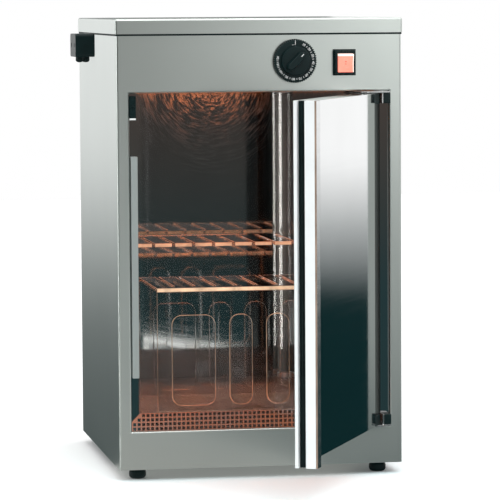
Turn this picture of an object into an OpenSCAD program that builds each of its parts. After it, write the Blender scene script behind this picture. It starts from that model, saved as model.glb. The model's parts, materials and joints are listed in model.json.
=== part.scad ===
// Knife sterilizer cabinet: a free-standing sheet-steel box with a hinged door,
// a timer and a lit switch above it, and clear slotted knife racks inside.
// Millimetres, +Z up, the door faces -Y. The origin is on the floor under the
// middle of the outline, with the door standing ajar.

/* [Cabinet] */
// Width over the side sheets
cabinet_w = 385; // [350:1:460]
// Depth from the front sheet to the back panel
cabinet_d = 410; // [380:1:520]
// Height from the base to the top of the lid
cabinet_h = 600; // [560:1:720]
// Thickness of the casing sheet
sheet_t = 1.2; // [0.8:0.1:2]
// Outside radius of the folded edges
bend_r = 3; // [2.2:0.1:5]
// Width of the flanges folded in along the back
rear_flange = 16; // [12:1:24]

/* [Front opening] */
// Width of the front sheet beside the opening
stile_w = 17; // [13:0.5:30]
// Height of the front sheet below the opening
sill_h = 51; // [40:1:70]
// Height of the front above the opening, lid included
fascia_h = 98; // [92:1:130]
// Depth of the edge turned in round the opening
return_d = 6; // [5:0.5:10]

/* [Lid] */
// Height of the lid's skirt
lid_h = 20; // [14:1:32]
// Gap between the lid's skirt and the casing
lid_gap = 0.3; // [0.1:0.1:1]

/* [Feet] */
// Diameter of a rubber foot
foot_d = 23; // [18:1:34]
// Height of the base above the floor
foot_h = 15; // [11:0.5:25]
// Height of the neck between the rubber and the base
foot_neck_h = 4; // [2:0.5:6]
// Distance of a foot from the side
foot_inset_x = 28; // [22:1:50]
// Distance of a foot from the front and the back
foot_inset_y = 30; // [24:1:60]
// Diameter of the foot's stud
stud_d = 8; // [6:0.5:10]

/* [Door] */
// Thickness of the door
door_t = 30; // [26:1:36]
// Gap between the closed door and the front sheet
door_gap = 1.2; // [0.8:0.1:3]
// How far the door stands open, in degrees
door_open = 64; // [0:1:100]
// Gap beside the closed door, at the handle
door_side_gap = 1.2; // [0.6:0.1:4]
// Thickness of the door's skins
skin_t = 1; // [0.8:0.1:1.5]
// Width of the handle profile along the door
handle_w = 18; // [14:1:28]
// How far the handle profile hangs below the door
handle_drop = 14; // [0:1:30]
// Width of the finger groove in the handle profile
groove_w = 9.8; // [7:0.1:12]
// Depth of the finger groove
groove_d = 11; // [6:0.5:12]
// Width of the lip behind the finger groove
groove_lip = 5; // [4:0.5:8]
// Width of the hinge profile along the door
hinge_w = 30; // [26:1:36]
// Wall of the hinge profile
hinge_wall = 2.4; // [1.6:0.1:4]

/* [Hinge] */
// Height of a pivot block
block_h = 14; // [10:1:24]
// Diameter of a hinge pin
pin_d = 6; // [4:0.5:8]
// Radial running clearance of the pins and the timer shaft
run_gap = 0.05; // [0.02:0.01:0.1]
// Thickness of a bracket's arm
arm_t = 2; // [1.5:0.1:3]
// Gap above and below a bracket's arm
arm_gap = 0.4; // [0.3:0.1:1]
// Gap between a bracket and the circle that the door's end sweeps
swing_gap = 0.8; // [0.5:0.1:3]

/* [Chamber] */
// Width of the polished jamb on the handle side
jamb_l = 10.6; // [8:0.1:16]
// Width of the polished jamb on the hinge side
jamb_r = 18.5; // [16:0.1:30]
// Thickness of the chamber sheet
liner_t = 1; // [0.8:0.1:1.5]
// Space between the chamber's back and the back panel
rear_space = 14; // [10:1:60]
// Height of the perforated floor above the chamber floor
floor_h = 25.5; // [20:0.5:40]
// Size of a square hole in the perforated floor
hole_w = 4.2; // [3:0.1:4.8]
// Distance between holes
hole_pitch = 6; // [5.5:0.1:9]
// Length of the magnet strip
magnet_l = 295; // [200:5:350]

/* [Racks] */
// Thickness of the clear sheet
clear_t = 5; // [3:0.5:6]
// Width of the front rack
front_rack_w = 277; // [250:1:300]
// Depth of the front rack
front_rack_d = 178; // [120:1:190]
// Height of the front rack
front_rack_h = 166; // [140:1:220]
// Distance of the front rack behind the front sheet
front_rack_y = 13; // [11:1:30]
// Height of the rear rack
rear_rack_h = 212; // [170:1:280]
// Gap between the two racks
rack_gap = 5; // [3:1:15]
// Gap beside the rear rack
rack_side_gap = 1.5; // [1:0.5:5]
// Width of a knife slot
slot_w = 4.4; // [4.2:0.1:6]
// Distance between knife slots
slot_pitch = 28.2; // [24:0.1:34]
// Solid margin at the closed end of the slots
slot_margin = 28; // [16:1:40]
// Slots in the front rack
front_slots = 9; // [3:2:9]
// Slots in the rear rack
rear_slots = 11; // [3:2:11]
// Width of a wide window
window_wide = 58; // [40:1:66]
// Width of a narrow window
window_narrow = 30; // [20:1:36]
// Height of the windows
window_h = 121; // [90:1:128]
// Height of the rail below the windows
window_rail = 8; // [6:1:16]
// Corner radius of the windows
window_r = 13; // [4:0.5:14]

/* [Lamp] */
// Diameter of the lamp's caps
lamp_d = 26; // [16:0.5:30]
// Length of an end cap
lamp_cap_l = 14; // [10:1:20]
// Distance of the lamp from the right chamber wall
lamp_side = 54; // [30:1:100]
// Gap between the lamp and the back of the chamber
lamp_stand = 5; // [5:1:20]
// Height of a lamp holder
holder_h = 18; // [14:1:24]

/* [Timer] */
// Diameter of the knob's skirt
knob_d = 58; // [44:1:62]
// Height of the knob
knob_h = 19; // [15:1:30]
// Thickness of the knob's skirt
skirt_t = 6; // [4:0.5:9]
// Gap between the knob and the front sheet
knob_gap = 1.5; // [0.8:0.1:3]
// Diameter of the raised disc
disc_d = 40; // [30:1:44]
// Length of the grip bar
grip_l = 32; // [24:1:36]
// Width of the grip bar
grip_w = 11.5; // [8:0.5:14]
// Distance of the knob from the right side
knob_right = 145.5; // [130:0.5:170]
// Distance of the knob below the lid's top
control_drop = 57; // [53:0.5:70]
// Diameter of the timer shaft
shaft_d = 6; // [4:0.5:8]
// Side of the timer's case
timer_w = 44; // [36:1:50]
// Depth of the timer's case
timer_d = 38; // [28:1:50]

/* [Switch] */
// Width of the switch's collar
switch_w = 27; // [22:0.5:32]
// Height of the switch's collar
switch_h = 31; // [28:0.5:40]
// How far the collar stands out
switch_out = 11; // [8:0.5:16]
// Wall of the collar at the sides
switch_wall = 2.6; // [1.6:0.1:3.2]
// Distance of the switch from the right side
switch_right = 78; // [60:0.5:85]
// Distance of the switch below the knob's height
switch_drop = 2.5; // [0:0.5:6]
// Depth of the switch behind the front sheet
switch_d = 24; // [16:1:36]
// Tilt of the rocker either way, in degrees
rocker_tilt = 6; // [3:0.5:9]
// Gap beside the rocker
rocker_gap = 0.5; // [0.3:0.1:1]

/* [Door switch] */
// Height of the door switch
guard_h = 29; // [22:1:40]
// Depth of the door switch
guard_d = 24; // [16:1:34]
// Diameter of the plunger
plunger_d = 4; // [3:0.5:5]
// Gap round the plunger
plunger_gap = 0.3; // [0.1:0.1:0.5]
// Travel of the plunger
plunger_travel = 3; // [2:0.5:5]

/* [Power inlet] */
// How far the inlet stands out of the side
inlet_out = 27; // [20:1:40]
// Length of the inlet along the side
inlet_l = 62; // [45:1:80]
// Height of the inlet
inlet_h = 32; // [24:1:40]
// Distance of the inlet behind the front sheet
inlet_y = 226; // [120:1:280]
// Gap between the lid and the inlet
inlet_drop = 1.2; // [0.5:0.1:10]
// Diameter of one half of the cord entry
entry_d = 11; // [8:0.5:14]
// How far the cord entry hangs below the inlet
entry_h = 8; // [5:0.5:14]

/* [Lamp gear] */
// Length of the ballast's core
ballast_l = 110; // [80:1:140]
// Width of the ballast's core
ballast_w = 42; // [34:1:54]
// Height of the ballast's core
ballast_h = 34; // [26:1:48]
// Diameter of the starter
starter_d = 21.5; // [18:0.5:24]
// Height of the starter above its base
starter_h = 34; // [26:1:40]

/* [Hidden] */
$fn = 48;
eps = 0.01;

// Opening in the front sheet
opening_w = cabinet_w - 2 * stile_w;
opening_top = cabinet_h - fascia_h;
opening_h = opening_top - sill_h;
opening_right = cabinet_w - stile_w;
casing_d = cabinet_d - sheet_t;
casing_top = cabinet_h - sheet_t;

// Chamber, by its inner faces
chamber_x0 = stile_w + jamb_l;
chamber_x1 = opening_right - jamb_r;
chamber_y1 = cabinet_d - rear_space;
chamber_z0 = sill_h - sheet_t;
chamber_z1 = opening_top + sheet_t;
chamber_w = chamber_x1 - chamber_x0;
chamber_h = chamber_z1 - chamber_z0;

// Closed door
door_end_gap = 0.8;
door_x0 = stile_w + door_side_gap;
door_x1 = chamber_x1 - door_end_gap;
door_y0 = -door_gap - door_t;
door_z0 = sill_h + arm_t + 2 * arm_gap;
door_z1 = opening_top - arm_t - 2 * arm_gap;
panel_x0 = door_x0 + handle_w;
panel_x1 = door_x1 - hinge_w;
pivot_x = door_x1 - hinge_w / 2;
pivot_y = -door_gap - door_t / 2;
profile_r = 2.5;
handle_z0 = door_z0 - handle_drop;
groove_y = -door_gap - groove_lip - groove_w;
strip_t = 2;
rib_h = 1.4;

// Hinge brackets
lower_arm_z = sill_h + arm_gap;
upper_arm_z = opening_top - arm_gap - arm_t;
bracket_edge_gap = 0.3;
bracket_x1 = opening_right - bracket_edge_gap;
swing_r = norm([hinge_w / 2, door_t / 2]);
bracket_x0 = pivot_x + swing_r + swing_gap + arm_t;
bracket_w = bracket_x1 - bracket_x0;
foot_back = 4;
bracket_front = pivot_y + foot_back;
arm_wall = 5;
arm_r = pin_d / 2 + arm_wall;
pin_end_gap = 2;
pin_reach = block_h - pin_end_gap;

// Perforated floor
floor_top = chamber_z0 + floor_h;
floor_side_gap = 1;
guard_clear = 0.4;
fall_y = return_d - liner_t - guard_clear;
fall_z0 = sill_h + guard_clear;
fall_side = jamb_l + floor_side_gap - guard_clear;
fall_x0 = stile_w + guard_clear;
fall_x1 = bracket_x0 - arm_t - guard_clear;
fall_right = fall_x1 - chamber_x1 + floor_side_gap;
fall_h = floor_top - fall_z0;
hole_edge = 0.8;
hole_rows = 1 + floor((fall_h - hole_w - 2 * hole_edge) / hole_pitch);
hole_row_margin = (fall_h - (hole_rows - 1) * hole_pitch) / 2;
hole_columns = 1 + floor((fall_x1 - fall_x0 - hole_w - 2 * hole_edge) / hole_pitch);

// Racks
front_rack_x = (cabinet_w - front_rack_w) / 2;
rear_rack_y = front_rack_y + front_rack_d + rack_gap;
rear_rack_d = chamber_y1 - rear_rack_y - lamp_stand - lamp_d - rack_gap;
rear_rack_w = chamber_w - 2 * rack_side_gap;
end_window_r = 14;

// Lamp
lamp_x = chamber_x1 - lamp_side;
lamp_y = chamber_y1 - lamp_stand - lamp_d / 2;
lamp_z0 = chamber_z0 + holder_h;
lamp_l = chamber_z1 + liner_t - lamp_z0;
lamp_hole_gap = 1;
holder_wall = 4;
holder_w = lamp_d + 2 * holder_wall;
cap_wall = 0.6;

// Lamp gear
gear_y = cabinet_d / 2;
gear_z = chamber_z1 + liner_t;
starter_gap = 50;
starter_wall = 4;
starter_base_h = 8;

// Controls
control_z = cabinet_h - control_drop;
knob_x = cabinet_w - knob_right;
switch_x = cabinet_w - switch_right;
switch_z = control_z - switch_drop;
flange_t = 1.6;
flange_over = 2;
rocker_w = switch_w - 2 * (switch_wall + rocker_gap);
rocker_end = 3.5;
rocker_half = switch_h / 2 - rocker_end;
rocker_front = 12.5;
rocker_axis_y = -3;
rocker_pin_d = 3;
rocker_tilt_gap = 1.5;
rocker_room = 10;
shaft_hole_gap = 0.6;
bush_d = 10;
shaft_in = 9.5;
nut_d = 16;
nut_gap = 0.4;
nut_out = knob_gap - nut_gap;
fine_scallops = 60;

// Door switch
guard_x0 = stile_w + guard_clear;
guard_w = jamb_l - guard_clear;
guard_drop = 4;
guard_back = 4;
guard_z1 = opening_top - guard_drop;
plunger_rest = -door_gap + guard_clear;
magnet_rise = 72;
magnet_z0 = sill_h + magnet_rise;
magnet_front = plunger_rest;

// Inlet
inlet_z1 = cabinet_h - lid_h - inlet_drop;
inlet_r = 4;
spigot_in = 4;

// Fasteners
screw_d = 4;
screw_head_d = 8;
screw_head_h = 1.6;
screw_l = 9;
screw_end = 24;
back_z0 = 2;
back_top = cabinet_h - lid_h - back_z0;
screw_edge = rear_flange / 2 + sheet_t;
pan_flange = 14;
pan_gap = 0.2;
nut_af_d = 13;
nut_h = 5;
neck_wall = 2;
stud_l = 12;

// Outline with the door ajar, for the origin
free_x = door_x0 - pivot_x;
outer_y = -door_t / 2;
door_reach = profile_r + (free_x + profile_r) * sin(-door_open) + (outer_y + profile_r) * -cos(door_open);
outline_y0 = min(pivot_y - door_reach, -knob_gap - knob_h, door_y0);
outline_y1 = cabinet_d + lid_gap + sheet_t + screw_head_h;
outline_x0 = -inlet_out;
outline_x1 = cabinet_w + lid_gap + sheet_t;
mid_x = (outline_x0 + outline_x1) / 2;
mid_y = (outline_y0 + outline_y1) / 2;

// Finishes
satin_steel = [0.72, 0.74, 0.74];
bright_steel = [0.82, 0.83, 0.84];
clear_sheet = [0.95, 0.72, 0.5, 0.5];
black = [0.05, 0.05, 0.06];

// Helpers

// Moves the cabinet's front left bottom corner to its place about the origin
module placed() {
    translate([-mid_x, -mid_y, foot_h]) children();
}

// Swings a closed door piece to where the door stands
module swung() {
    placed() translate([pivot_x, pivot_y, 0]) rotate([0, 0, door_open]) translate([-pivot_x, -pivot_y, 0])
        children();
}

// Rectangle with true arcs at its corners
module round_rect(w, d, r) {
    translate([r, 0]) square([w - 2 * r, d]);
    translate([0, r]) square([w, d - 2 * r]);
    for (x = [r, w - r], y = [r, d - r]) translate([x, y]) circle(r);
}

// Rectangle whose two front corners are round, open to the back
module folded_plan(w, d, r) {
    translate([r, 0]) square([w - 2 * r, d]);
    translate([0, r]) square([w, d - r]);
    for (x = [r, w - r]) translate([x, r]) circle(r);
}

// Block lying in the front plane: x and z are its middle, y runs back from y0
module front_block(x, z, w, h, y0, d) {
    translate([x - w / 2, y0, z - h / 2]) cube([w, d, h]);
}

// Round bar along Y
module bar_y(x, z, dia, y0, len) {
    translate([x, y0, z]) rotate([-90, 0, 0]) cylinder(d = dia, h = len);
}

// Casing

module wrap_casing() {
    color(satin_steel) placed() difference() {
        union() {
            linear_extrude(casing_top) difference() {
                folded_plan(cabinet_w, casing_d, bend_r);
                translate([sheet_t, sheet_t])
                    folded_plan(cabinet_w - 2 * sheet_t, cabinet_d, bend_r - sheet_t);
            }
            for (x = [sheet_t - eps, cabinet_w - sheet_t - rear_flange + eps])
                translate([x, casing_d - sheet_t, 0]) cube([rear_flange, sheet_t, casing_top]);
            translate([stile_w - sheet_t, sheet_t - eps, sill_h - sheet_t])
                cube([opening_w + 2 * sheet_t, return_d - sheet_t + eps, opening_h + 2 * sheet_t]);
        }
        translate([stile_w, -1, sill_h]) cube([opening_w, return_d + 2, opening_h]);
        bar_y(knob_x, control_z, bush_d + 2 * shaft_hole_gap, -1, sheet_t + 2);
        front_block(switch_x, switch_z, switch_w + eps, switch_h + eps, -1, sheet_t + 2);
        translate([-1, inlet_y + inlet_l / 2, inlet_z1 - inlet_h / 2]) rotate([0, 90, 0])
            cylinder(d = inlet_h / 2, h = sheet_t + 2);
        for (x = screw_columns(), z = back_screw_heights())
            bar_y(x, z, screw_d, casing_d - 2 * sheet_t, 3 * sheet_t);
        for (x = screw_columns())
            bar_y(x, cabinet_h - lid_h / 2, screw_d, casing_d - 2 * sheet_t, 3 * sheet_t);
    }
}

function back_screw_heights() = [for (i = [0 : 3]) back_z0 + screw_end + i * (back_top - back_z0 - 2 * screw_end) / 3];
function screw_columns() = [screw_edge, cabinet_w - screw_edge];

module top_cover() {
    over = lid_gap + sheet_t;
    w = cabinet_w + 2 * over;
    d = cabinet_d + 2 * over;
    color(satin_steel) placed() translate([-over, -over, cabinet_h - lid_h]) difference() {
        union() {
            linear_extrude(lid_h - bend_r) round_rect(w, d, bend_r);
            translate([bend_r, bend_r, 0]) cube([w - 2 * bend_r, d - 2 * bend_r, lid_h]);
            translate([0, 0, lid_h - bend_r]) {
                for (y = [bend_r, d - bend_r])
                    translate([bend_r, y, 0]) rotate([0, 90, 0]) cylinder(r = bend_r, h = w - 2 * bend_r);
                for (x = [bend_r, w - bend_r])
                    translate([x, bend_r, 0]) rotate([-90, 0, 0]) cylinder(r = bend_r, h = d - 2 * bend_r);
                for (x = [bend_r, w - bend_r], y = [bend_r, d - bend_r])
                    translate([x, y, 0]) sphere(bend_r);
            }
        }
        translate([sheet_t, sheet_t, -1]) linear_extrude(lid_h - sheet_t + 1)
            round_rect(w - 2 * sheet_t, d - 2 * sheet_t, bend_r - sheet_t);
        for (x = screw_columns())
            bar_y(x + over, lid_h / 2, screw_d, d - 2 * sheet_t, 3 * sheet_t);
    }
}

module back_panel() {
    vent_w = 4;
    vent_h = 34;
    vents = 15;
    vent_pitch = 11;
    vent_drop = 40;
    edge = 1;
    color(satin_steel) placed() difference() {
        translate([edge, casing_d, back_z0]) cube([cabinet_w - 2 * edge, sheet_t, back_top - back_z0]);
        for (i = [0 : vents - 1])
            front_block(cabinet_w / 2 + (i - (vents - 1) / 2) * vent_pitch, back_top - vent_drop,
                        vent_w, vent_h, casing_d - sheet_t, 3 * sheet_t);
        for (x = screw_columns(), z = back_screw_heights())
            bar_y(x, z, screw_d, casing_d - sheet_t, 3 * sheet_t);
    }
}

module base_pan() {
    x0 = sheet_t + pan_gap;
    w = cabinet_w - 2 * x0;
    d = casing_d - 2 * sheet_t - 2 * pan_gap;
    color(satin_steel) placed() difference() {
        translate([x0, x0, 0]) difference() {
            cube([w, d, pan_flange]);
            translate([sheet_t, sheet_t, sheet_t])
                cube([w - 2 * sheet_t, d - 2 * sheet_t, pan_flange]);
        }
        at_feet() translate([0, 0, -1]) cylinder(d = stud_d, h = sheet_t + 2);
    }
}

// Chamber

module chamber_wrap() {
    z_len = chamber_h;
    color(bright_steel) placed() translate([0, 0, chamber_z0]) difference() {
        linear_extrude(z_len) {
            translate([stile_w - sheet_t, return_d]) square([jamb_l + sheet_t, liner_t]);
            translate([chamber_x0 - liner_t, return_d]) square([liner_t, chamber_y1 - return_d + liner_t]);
            translate([chamber_x0 - liner_t, chamber_y1]) square([chamber_w + 2 * liner_t, liner_t]);
            translate([chamber_x1, return_d]) square([liner_t, chamber_y1 - return_d + liner_t]);
            translate([chamber_x1, return_d]) square([jamb_r + sheet_t, liner_t]);
        }
        translate([guard_x0 - guard_clear, return_d - 1, guard_z1 - guard_h - guard_clear - chamber_z0])
            cube([guard_w - liner_t - guard_clear, liner_t + 2, guard_h + 2 * guard_clear]);
    }
}

// Flat sheet that closes the chamber above or below
module chamber_plate(z) {
    y0 = sheet_t + pan_gap;
    translate([chamber_x0 - liner_t, y0, z])
        cube([chamber_w + 2 * liner_t, chamber_y1 + liner_t - y0, liner_t]);
}

module chamber_ceiling() {
    color(bright_steel) placed() difference() {
        chamber_plate(chamber_z1);
        translate([lamp_x, lamp_y, chamber_z1 - 1])
            cylinder(d = lamp_d + 2 * lamp_hole_gap, h = liner_t + 2);
    }
}

module chamber_floor() {
    color(bright_steel) placed() chamber_plate(chamber_z0 - liner_t);
}

// Folded floor sheet: a deck on two folded sides, with a hole for the lamp, and a front fall with square holes
module perforated_floor() {
    x0 = chamber_x0 + floor_side_gap;
    w = chamber_w - 2 * floor_side_gap;
    d = chamber_y1 - fall_y - floor_side_gap;
    fall_w = fall_x1 - fall_x0;
    color(bright_steel) placed() {
        difference() {
            translate([x0, fall_y, chamber_z0]) difference() {
                cube([w, d, floor_h]);
                translate([liner_t, -1, -1]) cube([w - 2 * liner_t, d + 2, floor_h - liner_t + 1]);
            }
            translate([x0 - 1, fall_y - 1, chamber_z0 - 1])
                cube([w + 2, return_d + liner_t + guard_clear - fall_y + 1, floor_h - liner_t + 1]);
            translate([lamp_x, lamp_y, chamber_z0 - 1])
                cylinder(d = lamp_d + 2 * lamp_hole_gap, h = floor_h + 2);
        }
        difference() {
            translate([fall_x0, fall_y + liner_t, fall_z0]) rotate([90, 0, 0])
                linear_extrude(liner_t) polygon([
                    [0, 0], [fall_w, 0], [fall_w, fall_h - fall_right], [fall_w - fall_right, fall_h],
                    [fall_side, fall_h], [0, fall_h - fall_side]
                ]);
            for (c = [0 : hole_columns - 1], r = [0 : hole_rows - 1])
                if (fall_hole_clear(c, r))
                    front_block(fall_hole_x(c), fall_hole_z(r), hole_w, hole_w, fall_y - 1, liner_t + 2);
        }
    }
}

function fall_hole_x(c) = (fall_x0 + fall_x1) / 2 + (c - (hole_columns - 1) / 2) * hole_pitch;
function fall_hole_z(r) = fall_z0 + hole_row_margin + r * hole_pitch;
// A hole is left out where the slanted ends would cut it
function fall_hole_clear(c, r) =
    fall_hole_x(c) - fall_x0 > fall_hole_z(r) - floor_top + fall_side + hole_w + hole_edge
    && fall_x1 - fall_hole_x(c) > fall_hole_z(r) - floor_top + fall_right + hole_w + hole_edge;

module magnet_strip() {
    color([0.75, 0.77, 0.77]) placed() translate([guard_x0, magnet_front, magnet_z0])
        cube([jamb_l - guard_clear, return_d - magnet_front, magnet_l]);
}

// Racks

// Clear slotted shelf; the slots run out at the back, or at the front when to_front is set
module slotted_top(w, d, slots, to_front) {
    slot_len = d - slot_margin;
    difference() {
        cube([w, d, clear_t]);
        for (i = [0 : slots - 1])
            translate([w / 2 + (i - (slots - 1) / 2) * slot_pitch - slot_w / 2,
                       to_front ? -1 : slot_margin, -1])
                cube([slot_w, slot_len + 1, clear_t + 2]);
    }
}

// Window with true round corners, standing in the front plane
module arched_window(x, w) {
    translate([x, clear_t + 1, window_rail]) rotate([90, 0, 0]) linear_extrude(clear_t + 2)
        round_rect(w, window_h, window_r);
}

// Upright clear panel with four windows
module windowed_panel() {
    post = (front_rack_w - 2 * window_wide - 2 * window_narrow) / 5;
    difference() {
        cube([front_rack_w, clear_t, front_rack_h - clear_t]);
        arched_window(post, window_wide);
        arched_window(2 * post + window_wide, window_narrow);
        arched_window(3 * post + window_wide + window_narrow, window_narrow);
        arched_window(4 * post + window_wide + 2 * window_narrow, window_wide);
    }
}

// Upright clear end of the rear rack, with one opening to save weight
module rack_end() {
    post = rear_rack_d / 5;
    difference() {
        cube([clear_t, rear_rack_d, rear_rack_h - clear_t]);
        translate([-1, post, window_rail]) rotate([90, 0, 90]) linear_extrude(clear_t + 2)
            round_rect(rear_rack_d - 2 * post, rear_rack_h - clear_t - 4 * window_rail, end_window_r);
    }
}

module front_rack_place() {
    placed() translate([front_rack_x, front_rack_y, floor_top]) children();
}

module rear_rack_place() {
    placed() translate([chamber_x0 + rack_side_gap, rear_rack_y, floor_top]) children();
}

module front_rack_top() {
    color(clear_sheet) front_rack_place() translate([0, 0, front_rack_h - clear_t])
        slotted_top(front_rack_w, front_rack_d, front_slots, false);
}

module front_rack_front() {
    color(clear_sheet) front_rack_place() windowed_panel();
}

module front_rack_rear() {
    color(clear_sheet) front_rack_place() translate([0, front_rack_d - clear_t, 0]) windowed_panel();
}

module rear_rack_top() {
    color(clear_sheet) rear_rack_place() translate([0, 0, rear_rack_h - clear_t])
        slotted_top(rear_rack_w, rear_rack_d, rear_slots, true);
}

module rear_rack_left_end() {
    color(clear_sheet) rear_rack_place() rack_end();
}

module rear_rack_right_end() {
    color(clear_sheet) rear_rack_place() translate([rear_rack_w - clear_t, 0, 0]) rack_end();
}

// Lamp

module lamp_tube() {
    color([0.9, 0.92, 0.95, 0.6]) placed() translate([lamp_x, lamp_y, lamp_z0 + lamp_cap_l])
        cylinder(d = lamp_d - 2 * cap_wall, h = lamp_l - 2 * lamp_cap_l);
}

module lamp_caps() {
    color([0.8, 0.8, 0.82]) placed() translate([lamp_x, lamp_y, lamp_z0])
        for (z = [0, lamp_l - lamp_cap_l]) translate([0, 0, z]) cylinder(d = lamp_d, h = lamp_cap_l);
}

// Socket that carries one end of the lamp, fixed to the chamber's back
module lampholder(z) {
    placed() translate([lamp_x, 0, z]) {
        translate([-holder_w / 2, lamp_y, 0]) cube([holder_w, chamber_y1 - lamp_y, holder_h]);
        translate([0, lamp_y, 0]) cylinder(d = holder_w, h = holder_h);
    }
}

module upper_lampholder() {
    color([0.93, 0.93, 0.92]) lampholder(lamp_z0 + lamp_l);
}

module lower_lampholder() {
    color([0.93, 0.93, 0.92]) lampholder(lamp_z0 - holder_h);
}

// Lamp gear on top of the chamber

module ballast() {
    foot_l = 14;
    foot_t = 2;
    wind_over = 6;
    color([0.55, 0.56, 0.58]) placed()
        translate([cabinet_w / 2 - ballast_l / 2, gear_y, gear_z]) difference() {
            union() {
                cube([ballast_l, ballast_w, ballast_h - wind_over]);
                translate([foot_l, wind_over, 0])
                    cube([ballast_l - 2 * foot_l, ballast_w - 2 * wind_over, ballast_h]);
                translate([-foot_l, 0, 0]) cube([ballast_l + 2 * foot_l, ballast_w, foot_t]);
            }
            for (x = [-foot_l / 2, ballast_l + foot_l / 2])
                translate([x, ballast_w / 2, -1]) cylinder(d = screw_d, h = foot_t + 2);
        }
}

module starter_place() {
    placed() translate([(cabinet_w + ballast_l) / 2 + starter_gap, gear_y + ballast_w / 2, gear_z]) children();
}

module starter_base() {
    w = starter_d + 2 * starter_wall;
    color([0.93, 0.93, 0.92]) starter_place() difference() {
        translate([-w / 2, -w / 2, 0]) cube([w, w, starter_base_h]);
        translate([0, 0, starter_base_h / 2]) cylinder(d = starter_d, h = starter_base_h);
    }
}

module starter() {
    crown = 3;
    color([0.85, 0.86, 0.84]) starter_place() translate([0, 0, starter_base_h / 2]) {
        cylinder(d = starter_d - 2 * run_gap, h = starter_h);
        translate([0, 0, starter_h - eps]) cylinder(d1 = starter_d - crown, d2 = starter_d - 2 * crown, h = crown);
    }
}

module terminal_block() {
    poles = 4;
    pole_w = 9;
    block_d = 18;
    block_t = 14;
    from_wall = 12;
    color([0.92, 0.92, 0.9]) placed()
        translate([chamber_x0 + from_wall, inlet_y + (inlet_l - poles * pole_w) / 2, gear_z])
            difference() {
                cube([block_d, poles * pole_w, block_t]);
                for (i = [0 : poles - 1]) translate([block_d / 2, (i + 0.5) * pole_w, block_t / 2])
                    cylinder(d = screw_d, h = block_t);
            }
}

// Timer

module timer_body() {
    color([0.2, 0.2, 0.22]) placed() difference() {
        union() {
            front_block(knob_x, control_z, timer_w, timer_w, sheet_t, timer_d);
            bar_y(knob_x, control_z, bush_d, -nut_out, sheet_t + nut_out + eps);
        }
        bar_y(knob_x, control_z, shaft_d + 2 * run_gap, -knob_h, knob_h + sheet_t + timer_d / 2);
    }
}

// Thin washer that clamps the timer's bush to the front sheet
module timer_nut() {
    color(bright_steel) placed() difference() {
        bar_y(knob_x, control_z, nut_d, -nut_out, nut_out);
        bar_y(knob_x, control_z, bush_d + 2 * run_gap, -nut_out - 1, nut_out + 2);
    }
}

module timer_shaft() {
    color(bright_steel) placed()
        bar_y(knob_x, control_z, shaft_d, -knob_gap - shaft_in, knob_gap + shaft_in + sheet_t + timer_d / 3);
}

// Skirted knob with a fine scalloped rim, a raised disc and a grip bar
module timer_knob() {
    rim_r = knob_d / 2;
    disc_top = skirt_t + (knob_h - skirt_t) / 2.5;
    scallop_r = 0.9;
    disc_edge = 1.5;
    color(black) placed() translate([knob_x, -knob_gap, control_z]) rotate([90, 0, 0]) difference() {
        union() {
            rotate_extrude() polygon([
                [0, 0], [rim_r, 0], [rim_r, skirt_t - 1], [rim_r - 1, skirt_t],
                [disc_d / 2, skirt_t], [disc_d / 2 - 1, disc_top - disc_edge],
                [disc_d / 2 - 1 - disc_edge, disc_top], [0, disc_top]
            ]);
            rotate([0, 0, 45]) translate([0, 0, disc_top - eps]) {
                translate([-grip_l / 2 + grip_w / 2, -grip_w / 2, 0])
                    cube([grip_l - grip_w, grip_w, knob_h - disc_top + eps]);
                for (x = [-1, 1]) translate([x * (grip_l - grip_w) / 2, 0, 0])
                    cylinder(d = grip_w, h = knob_h - disc_top + eps);
            }
        }
        for (i = [0 : fine_scallops - 1]) rotate([0, 0, i * 360 / fine_scallops])
            translate([rim_r + scallop_r / 3, 0, -1]) cylinder(r = scallop_r, h = skirt_t + 2, $fn = 16);
        translate([0, 0, -1]) cylinder(d = shaft_d, h = shaft_in + 1);
    }
}

// Lit switch

module switch_body() {
    inner_w = switch_w - 2 * switch_wall;
    inner_h = 2 * (rocker_half + rocker_tilt_gap);
    color(black) placed() difference() {
        union() {
            front_block(switch_x, switch_z, switch_w + 2 * flange_over, switch_h + 2 * flange_over,
                        -flange_t, flange_t);
            front_block(switch_x, switch_z, switch_w, switch_h, -switch_out, switch_out + switch_d);
        }
        front_block(switch_x, switch_z, inner_w, inner_h, -switch_out - 1, switch_out + 1 + rocker_room);
        translate([switch_x, rocker_axis_y, switch_z]) rotate([0, 90, 0])
            cylinder(d = rocker_pin_d, h = switch_w - switch_wall, center = true);
    }
}

module switch_rocker() {
    axis_gap = 0.1;
    back = 5;
    color([1, 0.3, 0.12]) placed() translate([switch_x, rocker_axis_y, switch_z]) rotate([rocker_tilt, 0, 0]) {
        translate([-rocker_w / 2, 0, 0]) rotate([90, 0, 90]) linear_extrude(rocker_w) polygon([
            [back, -rocker_half / 2], [back, rocker_half / 2], [0, rocker_half],
            [-rocker_front + 2, rocker_half], [-rocker_front + 4, 0], [-rocker_front + 2, -rocker_half],
            [0, -rocker_half]
        ]);
        rotate([0, 90, 0])
            cylinder(d = rocker_pin_d - 2 * axis_gap, h = switch_w - switch_wall - 2 * axis_gap, center = true);
    }
}

// Door switch that cuts the lamp when the door opens

module door_switch() {
    color(black) placed() difference() {
        translate([guard_x0, 0, guard_z1 - guard_h])
            cube([guard_w - liner_t - 2 * guard_clear, guard_d, guard_h]);
        bar_y(plunger_x(), plunger_z(), plunger_d + 2 * plunger_gap, -1, guard_d - guard_back);
    }
}

function plunger_x() = guard_x0 + (guard_w - liner_t - 2 * guard_clear) / 2;
function plunger_z() = guard_z1 - guard_h / 2;

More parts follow.
